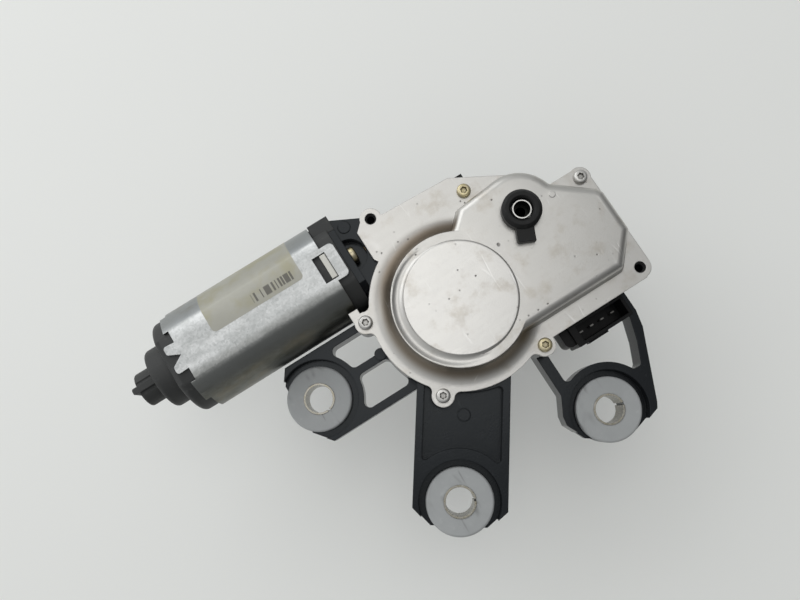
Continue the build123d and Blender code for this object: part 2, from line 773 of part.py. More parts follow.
# Toothed rod: an arm from the crank pin to the sector pin, with a toothed sector facing the pinion
with BuildPart() as toothed_rod:
    gap_angle = link_angle + 180
    step = 360 / sector_teeth
    sector_points = []
    for i in range(sector_teeth_kept):
        turn = gap_angle + (i - 1.5) * step
        sector_points += involute_tooth(sector_r, sector_teeth, turn, sector_x, sector_y)
    with BuildSketch(level(rod_z)):
        with BuildLine():
            Polyline(sector_points + [(sector_x, sector_y)], close=True)
        make_face()
    extrude(amount=rod_t)
    with BuildSketch(level(rod_z)):
        with Locations((crank_x, crank_y)):
            Circle(rod_eye_r)
        with Locations((sector_x, sector_y)):
            Circle(pin_r + 3.2)
        make_hull()
    extrude(amount=rod_t)
    with BuildSketch(level(rod_z)):
        with Locations((sector_x, sector_y)):
            Circle(pin_r + run_gap)
        with Locations((crank_x, crank_y)):
            Circle(pin_r)
    extrude(amount=rod_t, mode=Mode.SUBTRACT)
toothed_rod.part.label = "toothed_rod"
export_step(toothed_rod.part, "parts/toothed_rod.step")

# Crank pin, riveted in the rod's eye
with BuildPart() as crank_pin:
    with BuildSketch(level(hub_top + air_gap)):
        with Locations((crank_x, crank_y)):
            Circle(pin_r)
    extrude(amount=rod_z + rod_t - hub_top - air_gap)
    with BuildSketch(level(rod_z + rod_t)):
        with Locations((crank_x, crank_y)):
            Circle(pin_r + 1.0)
    extrude(amount=1.0)
    fillet(crank_pin.faces().sort_by(Axis.Z)[-1].edges(), 0.6)
crank_pin.part.label = "crank_pin"
export_step(crank_pin.part, "parts/crank_pin.step")

# Link plate between the output shaft and the sector pin
with BuildPart() as link_plate:
    with BuildSketch(level(link_z)):
        Circle(shaft_r + 3.0)
        with Locations((sector_x, sector_y)):
            Circle(pin_r + 2.6)
        make_hull()
    extrude(amount=link_t)
    with BuildSketch(level(link_z)):
        Circle(shaft_r + run_gap)
        with Locations((sector_x, sector_y)):
            Circle(pin_r)
    extrude(amount=link_t, mode=Mode.SUBTRACT)
link_plate.part.label = "link_plate"
export_step(link_plate.part, "parts/link_plate.step")

# Sector pin, riveted in the link, with a head under the rod
with BuildPart() as sector_pin:
    with BuildSketch(level(rod_z - seat_gap)):
        with Locations((sector_x, sector_y)):
            Circle(pin_r)
    extrude(amount=link_z + link_t - rod_z + seat_gap)
    with BuildSketch(level(rod_z - seat_gap)):
        with Locations((sector_x, sector_y)):
            Circle(pin_r + 1.2)
    extrude(amount=-0.9)
    with BuildSketch(level(link_z + link_t)):
        with Locations((sector_x, sector_y)):
            Circle(pin_r + 1.0)
    extrude(amount=0.8)
sector_pin.part.label = "sector_pin"
export_step(sector_pin.part, "parts/sector_pin.step")

# Worm wheel: helical rim, ribbed web and a hub that carries the crank pin's face
wheel_low = motor_z - wheel_face / 2
wheel_tip = wheel_pitch_r + tooth_add
wheel_root = wheel_pitch_r - tooth_ded
lead = worm_pitch / (2 * pi * worm_pitch_r)
half_tooth = worm_pitch / 4 - mesh_gap / 4
slope = tan(radians(20))
half_tip = degrees((half_tooth - tooth_add * slope) / wheel_tip)
half_root = degrees((half_tooth + tooth_ded * slope) / wheel_root)


def wheel_outline(turn):
    """Outline of the toothed rim, with a gap towards the worm at no turn."""
    points = []
    for i in range(wheel_teeth):
        centre = 90 + turn + (i + 0.5) * 360 / wheel_teeth
        points.append(polar(wheel_root, centre - half_root))
        points.append(polar(wheel_tip, centre - half_tip))
        points.append(polar(wheel_tip, centre + half_tip))
        points.append(polar(wheel_root, centre + half_root))
    return points


with BuildPart() as worm_wheel:
    twist = degrees(lead * wheel_face / 2 / wheel_pitch_r)
    with BuildSketch(level(wheel_low, wheel_x, wheel_y)):
        with BuildLine():
            Polyline(wheel_outline(-twist), close=True)
        make_face()
    with BuildSketch(level(wheel_low + wheel_face, wheel_x, wheel_y)):
        with BuildLine():
            Polyline(wheel_outline(twist), close=True)
        make_face()
    loft(ruled=True)
    web_low = motor_z - 2.0
    web_top = motor_z + 1.0
    with BuildSketch(level(web_top, wheel_x, wheel_y)):
        Circle(rim_inner_r)
        Circle(hub_r, mode=Mode.SUBTRACT)
        with PolarLocations((hub_r + rim_inner_r) / 2, 6):
            Rectangle(rim_inner_r - hub_r + 2, 1.8, mode=Mode.SUBTRACT)
    extrude(amount=20, mode=Mode.SUBTRACT)
    with BuildSketch(level(web_low, wheel_x, wheel_y)):
        Circle(rim_inner_r)
        Circle(hub_r - 5, mode=Mode.SUBTRACT)
    extrude(amount=-20, mode=Mode.SUBTRACT)
    with BuildSketch(level(wheel_low + wheel_face - 1, wheel_x, wheel_y)):
        Circle(hub_r)
    extrude(amount=hub_top - wheel_low - wheel_face + 1)
    with BuildSketch(level(hub_top - 1.0, wheel_x, wheel_y)):
        Circle(clip_r + air_gap)
    extrude(amount=5, mode=Mode.SUBTRACT)
    with BuildSketch(level(0, wheel_x, wheel_y)):
        Circle(axle_r + run_gap)
    extrude(amount=40, mode=Mode.SUBTRACT)
worm_wheel.part.label = "worm_wheel"
export_step(worm_wheel.part, "parts/worm_wheel.step")

# Wheel axle pressed in the housing, and the clip that keeps the wheel down
with BuildPart() as wheel_axle:
    with BuildSketch(level(pan_base + 0.8, wheel_x, wheel_y)):
        Circle(axle_r)
    extrude(amount=axle_top - pan_base - 0.8)
    chamfer(wheel_axle.faces().sort_by(Axis.Z)[-1].edges(), 0.3)
wheel_axle.part.label = "wheel_axle"
export_step(wheel_axle.part, "parts/wheel_axle.step")

with BuildPart() as wheel_clip:
    with BuildSketch(level(hub_top - 1.0 + seat_gap, wheel_x, wheel_y)):
        Circle(clip_r)
        Circle(axle_r, mode=Mode.SUBTRACT)
    extrude(amount=clip_t)
wheel_clip.part.label = "wheel_clip"
export_step(wheel_clip.part, "parts/wheel_clip.step")

# Park contacts: a ring under the wheel's web, with a gap in it, and three sprung fingers on the floor
ring_t = 0.4
ring_outer = rim_inner_r - 2.0
ring_inner = hub_r + 2.0
track = (ring_outer - ring_inner) / 6
with BuildPart() as contact_ring:
    with BuildSketch(level(web_low, wheel_x, wheel_y)):
        Circle(ring_outer)
        Circle(ring_inner, mode=Mode.SUBTRACT)
        with Locations((1.0 - ring_outer, 0)):
            Rectangle(4 * track, 5, mode=Mode.SUBTRACT)
    extrude(amount=-ring_t)
contact_ring.part.label = "contact_ring"
export_step(contact_ring.part, "parts/contact_ring.step")

with BuildPart() as contact_fingers:
    finger_top = web_low - ring_t - air_gap
    for radius in (ring_inner + track, ring_inner + 3 * track, ring_outer - track):
        with BuildSketch(Plane(origin=(wheel_x, wheel_y - radius, 0), x_dir=(1, 0, 0), z_dir=(0, -1, 0))):
            with BuildLine():
                Polyline(
                    (-9.0, floor_z), (-1.8, floor_z), (5.4, finger_top - 1.2), (6.5, finger_top - 0.6),
                    (7.6, finger_top - 1.2), (8.0, finger_top - 0.8), (6.5, finger_top),
                    (5.0, finger_top - 0.8),
                    (-2.2, floor_z + 0.6), (-9.0, floor_z + 0.6), close=True,
                )
            make_face()
        extrude(amount=track * 0.53, both=True)
contact_fingers.part.label = "contact_fingers"
export_step(contact_fingers.part, "parts/contact_fingers.step")

# Circuit board on its pegs, with relay and capacitor
with BuildPart() as circuit_board:
    with BuildSketch(level(board_z)):
        with BuildLine():
            Polyline((-3.0, -44.6), (24.0, -44.6), (24.0, -38.4), (30.0, -38.4), (30.0, -14.0),
                     (-3.0, -14.0),
                     close=True)
        make_face()
    extrude(amount=board_t)
circuit_board.part.label = "circuit_board"
export_step(circuit_board.part, "parts/circuit_board.step")

with BuildPart() as control_relay:
    with BuildSketch(level(board_z + board_t)):
        with Locations((20.0, -26.0)):
            RectangleRounded(16.0, 13.0, 1.0)
    extrude(amount=12.0)
    chamfer(control_relay.faces().sort_by(Axis.Z)[-1].edges(), 0.6)
control_relay.part.label = "control_relay"
export_step(control_relay.part, "parts/control_relay.step")

with BuildPart() as filter_capacitor:
    with BuildSketch(level(board_z + board_t)):
        with Locations((4.0, -26.0)):
            Circle(4.0)
    extrude(amount=11.0)
    fillet(filter_capacitor.faces().sort_by(Axis.Z)[-1].edges(), 0.6)
filter_capacitor.part.label = "filter_capacitor"
export_step(filter_capacitor.part, "parts/filter_capacitor.step")

# Connector blades, bent from the board up into the socket, and the connector shell round them
blade_mid = (plug_left + plug_right) / 2 + 0.7
with BuildPart() as connector_blades:
    for i in range(4):
        x = blade_mid + (i - 1.5) * blade_pitch
        with BuildSketch(level(board_z - blade_t)):
            with Locations((x, blade_y)):
                Rectangle(blade_w, blade_t)
        extrude(amount=plug_top - blade_depth - board_z + blade_t)
        with BuildSketch(level(board_z - blade_t)):
            with Locations((x, (blade_y - 42.0) / 2)):
                Rectangle(blade_w / 2, -42.0 - blade_y)
        extrude(amount=blade_t)
connector_blades.part.label = "connector_blades"
export_step(connector_blades.part, "parts/connector_blades.step")

with BuildPart() as connector_shell:
    plug_mid = (plug_left + plug_right) / 2
    with BuildSketch(level(plug_base)) as shell_plan:
        with Locations((plug_mid, (plug_low + case_low) / 2)):
            Rectangle(plug_right - plug_left, case_low - plug_low)
        fillet(shell_plan.vertices().group_by(Axis.Y)[0], 0.8)
    extrude(amount=plug_top - plug_base)
    with BuildSketch(level(plug_base + 5.0)):
        with Locations((plug_mid + 0.9, (plug_low + case_low) / 2)):
            Rectangle(plug_right - plug_left - 2 * plug_wall - 1.8, case_low - plug_low - 2 * plug_wall)
    extrude(amount=30, mode=Mode.SUBTRACT)
    # rounded bracket at the left end and the latch step on the outer wall
    with BuildSketch(level(plug_base + 4.0)) as bracket:
        with Locations((plug_left - 1.9, (plug_low + 1.6 + case_low) / 2)):
            Rectangle(3.8, case_low - plug_low - 1.6)
        fillet(bracket.vertices().group_by(Axis.Y)[0].sort_by(Axis.X)[0], 2.4)
    extrude(amount=11.0)
    with BuildSketch(level(plug_top - 9.0)):
        with Locations((plug_mid - 3.0, plug_low - 0.4)):
            Rectangle(9.0, 0.8)
    extrude(amount=5.0)
    # neck through the housing wall
    with BuildSketch(level(plug_base + 1.5 + seat_gap)):
        with Locations((plug_mid, case_low + (case_wall + 0.6) / 2)):
            Rectangle(plug_right - plug_left - 3 - 2 * seat_gap, case_wall + 0.6)
    extrude(amount=8.0 - 2 * seat_gap)
    add(connector_blades.part, mode=Mode.SUBTRACT)
connector_shell.part.label = "connector_shell"
export_step(connector_shell.part, "parts/connector_shell.step")

# Motor can: a flat-sided steel tube, with a tongue and window at the front and crimp fingers at the rear
with BuildPart() as motor_can:
    with BuildSketch(across(can_rear)):
        flat_sided(can_r, can_flat)
    extrude(amount=can_front - can_rear)
    for side in (1, -1):
        flat_z = motor_z + side * can_flat
        tongue_plane = Plane(origin=(0, motor_y, flat_z), x_dir=(1, 0, 0), z_dir=(0, 0, side))
        with BuildSketch(tongue_plane) as tongue:
            with Locations(((can_front + tongue_end) / 2 - 1, 0)):
                Rectangle(tongue_end - can_front + 2, 2 * tongue_half)
            fillet(tongue.vertices().group_by(Axis.X)[-1], 2.0)
        extrude(amount=-can_wall)
        with BuildSketch(tongue_plane) as fingers:
            with BuildLine():
                Polyline(
                    (can_rear + 1, -6.0), (can_rear, -5.6), (can_rear - finger_len, -5.8),
                    (can_rear - finger_len, -2.6), (can_rear, 0.4), (can_rear - finger_len, 2.8),
                    (can_rear - finger_len, 6.2), (can_rear, 5.8), (can_rear + 1, 6.0), close=True,
                )
            make_face()
            fillet(fingers.vertices().filter_by_position(Axis.X, can_rear - 20, can_rear - 1.0), 1.1)
        extrude(amount=-can_wall)
    # small crimp tabs beside the fingers
    with BuildSketch(across(can_rear)):
        for turn in (38, 142, 218, 322):
            with Locations(Location((0, 0), turn)):
                with Locations((can_r - can_wall / 2, 0)):
                    Rectangle(can_wall, 3.0)
        flat_sided(can_r, can_flat)
        Circle(can_in_r, mode=Mode.SUBTRACT)
        for turn in (0, 90, 180, 270):
            with Locations(Location((0, 0), turn)):
                with Locations((can_r, 0)):
                    Rectangle(2 * can_wall + 10, 2 * 10.8, mode=Mode.SUBTRACT)
    extrude(amount=-2.2)
    with BuildSketch(across(can_rear - finger_len - 1)):
        flat_sided(can_in_r, can_in_flat)
    extrude(amount=tongue_end - can_rear + finger_len + 2, mode=Mode.SUBTRACT)
    with BuildSketch(level(motor_z)):
        with Locations((can_front - 1.7, motor_y - 0.4)):
            Rectangle(5.6, 11.2)
    extrude(amount=can_r, mode=Mode.SUBTRACT)
motor_can.part.label = "motor_can"
export_step(motor_can.part, "parts/motor_can.step")

# End cap: flat-sided rim inside the can, drum over the bearing and a fluted knob
with BuildPart() as end_cap:
    with BuildSketch(across(can_rear + 4.0)):
        flat_sided(can_in_r - run_gap, can_in_flat - run_gap)
    extrude(amount=cap_rim_x - can_rear - 4.0)
    fillet(end_cap.faces().sort_by(Axis.X)[0].edges(), 2.5)
    with BuildSketch(across(cap_rim_x)):
        Circle(drum_r)
    extrude(amount=drum_x - cap_rim_x)
    fillet(end_cap.faces().sort_by(Axis.X)[0].edges(), 2.0)
    with BuildSketch(across(drum_x)):
        Circle(knob_r)
    extrude(amount=knob_x - drum_x)
    fillet(end_cap.faces().sort_by(Axis.X)[0].edges(), 1.2)
    # two flutes above and below, and between them a rib that ends in a round nose
    with BuildSketch(across(drum_x)):
        with GridLocations(2 * flute_gap, 2 * knob_r, 2, 2):
            Circle(flute_gap - rib_w / 2)
    extrude(amount=knob_x - drum_x, mode=Mode.SUBTRACT)
    with BuildSketch(across(drum_x)):
        Rectangle(rib_w, 2 * knob_r + 0.8)
    extrude(amount=knob_x - drum_x - 2.2)
    fillet(end_cap.faces().sort_by(Axis.X)[0].edges(), rib_w / 2 - 0.1)
    with BuildSketch(across(can_rear + 4.0)):
        Circle(can_in_flat - 2.0)
    extrude(amount=cap_rim_x + 2.5 - can_rear - 4.0, mode=Mode.SUBTRACT)
    with BuildSketch(across(can_rear)):
        Circle(bearing_r)
    extrude(amount=rear_bearing_x - can_rear, mode=Mode.SUBTRACT)
    with BuildSketch(across(rear_bearing_x)):
        Circle(arm_shaft_r + 0.5)
    extrude(amount=arm_shaft_rear - rear_bearing_x - 1.0, mode=Mode.SUBTRACT)
end_cap.part.label = "end_cap"
export_step(end_cap.part, "parts/end_cap.step")

# Sintered bearings at both ends of the armature
for name, x in (("rear_bearing", rear_bearing_x), ("front_bearing", front_bearing_x + 1.0)):
    with BuildPart() as bearing:
        with BuildSketch(across(x)):
            Circle(bearing_r)
            Circle(arm_shaft_r + run_gap, mode=Mode.SUBTRACT)
        extrude(amount=bearing_len)
    bearing.part.label = name
    export_step(bearing.part, "parts/" + name + ".step")

# Thrust pad in the housing at the worm's end
with BuildPart() as thrust_pad:
    with BuildSketch(across(arm_shaft_front + air_gap / 2)):
        Circle(arm_shaft_r)
    extrude(amount=2.0 + air_gap / 2)
thrust_pad.part.label = "thrust_pad"
export_step(thrust_pad.part, "parts/thrust_pad.step")

# Two field magnets against the round sides of the can, held apart by two spring clips
magnet_in_r = core_r + magnet_gap
magnet_len = core_len + 5.0
with BuildPart() as field_magnets:
    with BuildSketch(across(core_mid - magnet_len / 2)):
        Circle(can_in_r)
        Circle(magnet_in_r, mode=Mode.SUBTRACT)
        Rectangle(4 * can_r, 2 * magnet_in_r * sin(radians(52)), mode=Mode.INTERSECT)
    extrude(amount=magnet_len)
field_magnets.part.label = "field_magnets"
export_step(field_magnets.part, "parts/field_magnets.step")

with BuildPart() as magnet_clips:
    clip_half = magnet_in_r * sin(radians(52))
    for side in (1, -1):
        with BuildSketch(across(core_mid - magnet_len / 4)):
            with BuildLine():
                Polyline(
                    (-8.6, side * clip_half), (-7.0, side * can_in_flat), (7.0, side * can_in_flat),
                    (8.6, side * clip_half), (7.6, side * clip_half), (6.2, side * (can_in_flat - 0.8)),
                    (-6.2, side * (can_in_flat - 0.8)), (-7.6, side * clip_half), close=True,
                )
            make_face()
            Circle(magnet_in_r, mode=Mode.SUBTRACT)
        extrude(amount=magnet_len / 2)
magnet_clips.part.label = "magnet_clips"
export_step(magnet_clips.part, "parts/magnet_clips.step")

# Armature: shaft with its worm, lamination core, windings and commutator
with BuildPart() as armature_shaft:
    worm_half = worm_turns * worm_pitch / 2
    with BuildSketch(across(arm_shaft_rear)):
        Circle(arm_shaft_r)
    extrude(amount=arm_shaft_front - arm_shaft_rear)
    fillet(armature_shaft.faces().sort_by(Axis.X)[-1].edges(), 1.2)
    worm_root = worm_pitch_r - tooth_ded
    with BuildSketch(across(wheel_x - worm_half - 1.5)):
        Circle(worm_root)
    extrude(amount=2 * worm_half + 3.0)
    thread_half = worm_pitch / 4 - mesh_gap / 4
    tip_half = thread_half - tooth_add * slope
    root_half = thread_half + (tooth_ded + 0.1) * slope
    # the thread starts on top and faces the wheel at mid length
    thread_start = (wheel_x - worm_pitch * (round(worm_turns / 2 - 0.25) + 0.25), motor_y, motor_z)
    with BuildLine() as thread_path:
        Helix(worm_pitch, worm_turns * worm_pitch, worm_pitch_r, center=thread_start, direction=(1, 0, 0))
    with BuildSketch(Plane(origin=thread_start, x_dir=(0, 0, 1), z_dir=(0, -1, 0))):
        with BuildLine():
            Polyline(
                (worm_root - 0.1, -root_half), (worm_root - 0.1, root_half),
                (worm_pitch_r + tooth_add, tip_half), (worm_pitch_r + tooth_add, -tip_half), close=True,
            )
        make_face()
    sweep(path=thread_path.line, is_frenet=True)
armature_shaft.part.label = "armature_shaft"
export_step(armature_shaft.part, "parts/armature_shaft.step")

slots = 10
with BuildPart() as armature_core:
    with BuildSketch(across(core_mid - core_len / 2)):
        Circle(core_r)
        with PolarLocations(core_r - 3.0, slots):
            Rectangle(6.4, 1.4, mode=Mode.SUBTRACT)
        with PolarLocations(core_r - 4.0, slots):
            Circle(1.9, mode=Mode.SUBTRACT)
        Circle(arm_shaft_r, mode=Mode.SUBTRACT)
    extrude(amount=core_len)
armature_core.part.label = "armature_core"
export_step(armature_core.part, "parts/armature_core.step")

with BuildPart() as armature_windings:
    for x, deep in ((core_mid - core_len / 2, -6.0), (core_mid + core_len / 2, 5.5)):
        with BuildSketch(across(x)):
            Circle(core_r - 1.2)
            Circle(arm_shaft_r, mode=Mode.SUBTRACT)
        extrude(amount=deep)
    rear_edges = armature_windings.edges().filter_by(GeomType.CIRCLE).group_by(Axis.X)[0]
    fillet(rear_edges.sort_by(SortBy.RADIUS)[-1], 2.0)
    with BuildSketch(across(core_mid - core_len / 2)):
        with PolarLocations(core_r - 4.0, slots):
            Circle(1.9 - seat_gap)
    extrude(amount=core_len)
armature_windings.part.label = "armature_windings"
export_step(armature_windings.part, "parts/armature_windings.step")

with BuildPart() as commutator:
    with BuildSketch(across(commutator_mid - commutator_len / 2)):
        Circle(commutator_r)
        Circle(arm_shaft_r, mode=Mode.SUBTRACT)
        with PolarLocations(commutator_r, slots, 18):
            Rectangle(1.2, 0.5, mode=Mode.SUBTRACT)
    extrude(amount=commutator_len)
    with BuildSketch(across(commutator_mid - commutator_len / 2)):
        with PolarLocations(commutator_r + 0.6, slots):
            Rectangle(2.4, 1.6)
    extrude(amount=1.2)
commutator.part.label = "commutator"
export_step(commutator.part, "parts/commutator.step")

# Brush holder between can and flange: brush plate inside the can, collar, end wall and corner block
brush_w = 5.0
brush_h = 6.0
brush_in = commutator_r + air_gap
brush_out = 15.0
plate_front = commutator_mid + commutator_len / 2
wall_rear = flange_back - 4.8
with BuildPart() as brush_holder:
    with BuildSketch(across(plate_front - 9.0)):
        flat_sided(can_in_r - run_gap, can_in_flat - run_gap)
        Circle(commutator_r + 1.8, mode=Mode.SUBTRACT)
    extrude(amount=9.0)
    with BuildSketch(across(plate_front)):
        flat_sided(can_in_r - run_gap, can_in_flat - run_gap)
        Circle(can_in_flat - 2.0, mode=Mode.SUBTRACT)
    extrude(amount=flange_back - plate_front)
    with BuildSketch(across(wall_rear)):
        Circle(can_in_flat - 1.0)
    extrude(amount=flange_back - wall_rear)
    # corner block that reaches past the flange
    block_low = motor_y + 11.0
    with BuildSketch(level(motor_z + 3.0)):
        with BuildLine():
            Polyline((can_front + 0.4, block_low), (flange_face, block_low),
                     (flange_face, motor_y + can_r - 3.1),
                     (can_front + 0.4, motor_y + can_r - 3.1), close=True)
        make_face()
    extrude(amount=12.0)
    # brush slots, shaft passage and screw holes
    for side in (1, -1):
        with BuildSketch(across(plate_front - 4.5)):
            with Locations((side * 13.5, 0)):
                Rectangle(11.4, brush_h)
        extrude(amount=brush_w / 2, both=True, mode=Mode.SUBTRACT)
        with BuildSketch(across(wall_rear)):
            with Locations((0.5, side * flange_screw_offset)):
                Circle(flange_screw_r)
        extrude(amount=flange_back - wall_rear, mode=Mode.SUBTRACT)
    with BuildSketch(across(wall_rear)):
        Circle(arm_shaft_r + 1.2)
    extrude(amount=flange_back - wall_rear, mode=Mode.SUBTRACT)
    # the flange's rim sits in the corner block
    with BuildSketch(across(flange_back)):
        flat_sided(flange_r, flange_flat)
    extrude(amount=flange_face - flange_back, mode=Mode.SUBTRACT)
brush_holder.part.label = "brush_holder"
export_step(brush_holder.part, "parts/brush_holder.step")

with BuildPart() as carbon_brushes:
    for side in (1, -1):
        with BuildSketch(across(plate_front - 4.5)):
            with Locations((side * (brush_in + brush_out) / 2, 0)):
                Rectangle(brush_out - brush_in, brush_h)
            Circle(brush_in, mode=Mode.SUBTRACT)
        extrude(amount=brush_w / 2, both=True)
carbon_brushes.part.label = "carbon_brushes"
export_step(carbon_brushes.part, "parts/carbon_brushes.step")

with BuildPart() as brush_springs:
    for side in (1, -1):
        with BuildSketch(Plane(origin=(plate_front - 4.5, motor_y + side * brush_out, motor_z), x_dir=(1, 0, 0),
                               z_dir=(0, side, 0))):
            Circle(2.0)
            Circle(1.3, mode=Mode.SUBTRACT)
        extrude(amount=13.5 + 5.7 - brush_out)
brush_springs.part.label = "brush_springs"
export_step(brush_springs.part, "parts/brush_springs.step")

with BuildPart() as choke_coils:
    with BuildSketch(across(plate_front)):
        for side in (1, -1):
            with Locations((side * 8.6, 9.8)):
                Circle(2.2)
    extrude(amount=wall_rear - plate_front)
choke_coils.part.label = "choke_coils"
export_step(choke_coils.part, "parts/choke_coils.step")

# Pale latch of the brush holder, showing in the can's window
with BuildPart() as holder_latch:
    with BuildSketch(level(motor_z + can_in_flat - run_gap)):
        with Locations((can_front - 0.3, motor_y - 0.4)):
            Rectangle(2.4, 10.2)
    extrude(amount=can_wall + 0.2)
    chamfer(holder_latch.faces().sort_by(Axis.Z)[-1].edges().filter_by(Axis.Y), 0.3)
holder_latch.part.label = "holder_latch"
export_step(holder_latch.part, "parts/holder_latch.step")

# Flange screws, one in each pocket of the neck
with BuildPart() as flange_screws:
    for side in (1, -1):
        with BuildSketch(across(wall_rear + 0.4)):
            with Locations((0.5, side * flange_screw_offset)):
                Circle(flange_screw_r)
        extrude(amount=flange_face - wall_rear - 0.4)
        with BuildSketch(across(flange_face)):
            with Locations((0.5, side * flange_screw_offset)):
                Circle(flange_screw_head_r)
        extrude(amount=0.8)
        with BuildSketch(across(flange_face + 0.8)):
            with Locations((0.5, side * flange_screw_offset)):
                RegularPolygon(flange_screw_head_r - 0.4, 6)
        extrude(amount=1.8)
flange_screws.part.label = "flange_screws"
export_step(flange_screws.part, "parts/flange_screws.step")

# Rubber grommets in the forks, each round a split steel sleeve
grommet_low = (sleeve_h - grommet_h) / 2
fork_in = (sleeve_h - fork_t) / 2
for place, (x, y), rise, turn in (
    ("left", left_mount, 0.0, left_open), ("lower", lower_mount, lower_rise, lower_open),
    ("right", right_mount, 0.0, right_open),
):
    mount_axis = Axis((x, y, 0), (0, 0, 1))
    with BuildPart() as grommet:
        with BuildSketch(Plane(origin=(x, y, rise), x_dir=(1, 0, 0), z_dir=(0, -1, 0))) as half:
            with BuildLine():
                Polyline(
                    (sleeve_r, grommet_low), (grommet_r, grommet_low), (grommet_r, fork_in),
                    (grommet_groove_r, fork_in), (grommet_groove_r, fork_in + fork_t),
                    (grommet_r, fork_in + fork_t),
                    (grommet_r, grommet_low + grommet_h), (sleeve_r, grommet_low + grommet_h), close=True,
                )
            make_face()
            fillet(half.vertices().group_by(Axis.X)[-1].sort_by(Axis.Y)[0], 1.0)
            fillet(half.vertices().group_by(Axis.X)[-1].sort_by(Axis.Y)[-1], 1.0)
        revolve(axis=mount_axis)
    grommet.part.label = "grommet_" + place
    export_step(grommet.part, "parts/grommet_" + place + ".step")
    with BuildPart() as sleeve:
        with BuildSketch(level(rise, x, y, turn + 100)):
            Circle(sleeve_r)
            Circle(sleeve_bore_r, mode=Mode.SUBTRACT)
            with Locations((sleeve_r, 0)):
                Rectangle(sleeve_r, sleeve_slit, mode=Mode.SUBTRACT)
        extrude(amount=sleeve_h)
    sleeve.part.label = "sleeve_" + place
    export_step(sleeve.part, "parts/sleeve_" + place + ".step")
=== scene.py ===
import json
from math import atan2, cos, pi, radians, sin

import bmesh
import bpy
from mathutils import Matrix, Vector


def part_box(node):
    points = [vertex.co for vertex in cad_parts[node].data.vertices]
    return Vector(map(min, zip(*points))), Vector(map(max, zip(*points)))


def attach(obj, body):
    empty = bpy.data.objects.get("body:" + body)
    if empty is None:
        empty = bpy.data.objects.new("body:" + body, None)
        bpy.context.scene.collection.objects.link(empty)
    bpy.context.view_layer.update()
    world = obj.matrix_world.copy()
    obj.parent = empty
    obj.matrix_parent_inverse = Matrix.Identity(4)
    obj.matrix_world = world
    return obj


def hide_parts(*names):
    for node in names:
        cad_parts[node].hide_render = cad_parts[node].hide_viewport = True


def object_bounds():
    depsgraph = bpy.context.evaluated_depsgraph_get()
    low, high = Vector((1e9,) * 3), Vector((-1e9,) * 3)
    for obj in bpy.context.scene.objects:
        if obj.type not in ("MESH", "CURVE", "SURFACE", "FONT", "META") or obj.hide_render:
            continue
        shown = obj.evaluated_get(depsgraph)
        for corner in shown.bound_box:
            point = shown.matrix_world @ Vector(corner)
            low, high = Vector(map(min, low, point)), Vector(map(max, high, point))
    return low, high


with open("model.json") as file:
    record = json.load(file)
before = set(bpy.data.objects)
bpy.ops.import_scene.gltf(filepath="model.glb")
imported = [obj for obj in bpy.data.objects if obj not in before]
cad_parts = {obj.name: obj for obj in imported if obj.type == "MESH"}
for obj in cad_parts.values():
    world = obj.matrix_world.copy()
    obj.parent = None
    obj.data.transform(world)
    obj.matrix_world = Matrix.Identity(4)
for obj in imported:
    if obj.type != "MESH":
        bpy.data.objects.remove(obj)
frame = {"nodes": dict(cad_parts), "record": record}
cad_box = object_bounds()
nodes = frame["nodes"]
scene = bpy.context.scene
MM = 0.001

# Places on the motor, in millimetres, as in the part's source
MOTOR_Y, MOTOR_Z = 22.0, 16.0
CAN_R, CAN_FLAT = 21.3, 18.8
WHEEL = (-38.4, -16.0)
FLANGE_TOP, COVER_TOP = 28.0, 35.0
DISC_R, RIDGE_R = 22.8, 26.4
TUBE_R = 3.15
SILVER_SCREWS = [(29.3, 0.1), (-63.243, -43.688), (-73.594, -3.95)]
YELLOW_SCREWS = [(-12.8, 20.2), (-19.631, -48.118)]
COVER_SCREW = {"head_r": 2.8, "head_h": 2.2, "shank_r": 1.45, "shank_len": 10.4}
FLANGE_SCREW_Y, FLANGE_SCREW_OFFSET, FLANGE_SCREW_GRIP = 22.5, 8.5, 7.6


class Value:
    """A shader socket that takes part in sums: every operator adds one Math node."""

    def __init__(self, finish, socket):
        self.finish = finish
        self.socket = socket

    def __add__(self, other):
        return self.finish.maths("ADD", self, other)

    def __radd__(self, other):
        return self.finish.maths("ADD", other, self)

    def __sub__(self, other):
        return self.finish.maths("SUBTRACT", self, other)

    def __rsub__(self, other):
        return self.finish.maths("SUBTRACT", other, self)

    def __mul__(self, other):
        return self.finish.maths("MULTIPLY", self, other)

    def __rmul__(self, other):
        return self.finish.maths("MULTIPLY", other, self)

    def __pow__(self, other):
        return self.finish.maths("POWER", self, other)

    def rise(self, low, high):
        """0 below low, 1 above high, smooth between; falls instead when low is the larger."""
        falls = low > high
        return self.finish.node("ShaderNodeMapRange", {"interpolation_type": "SMOOTHSTEP"}, {
            "Value": self, "From Min": min(low, high), "From Max": max(low, high),
            "To Min": float(falls), "To Max": float(not falls),
        })

    def near(self, centre, spread):
        """1 at the centre, falling to 0 at the spread on both sides."""
        return self.finish.maths("ABSOLUTE", self - centre).rise(spread, 0.0)


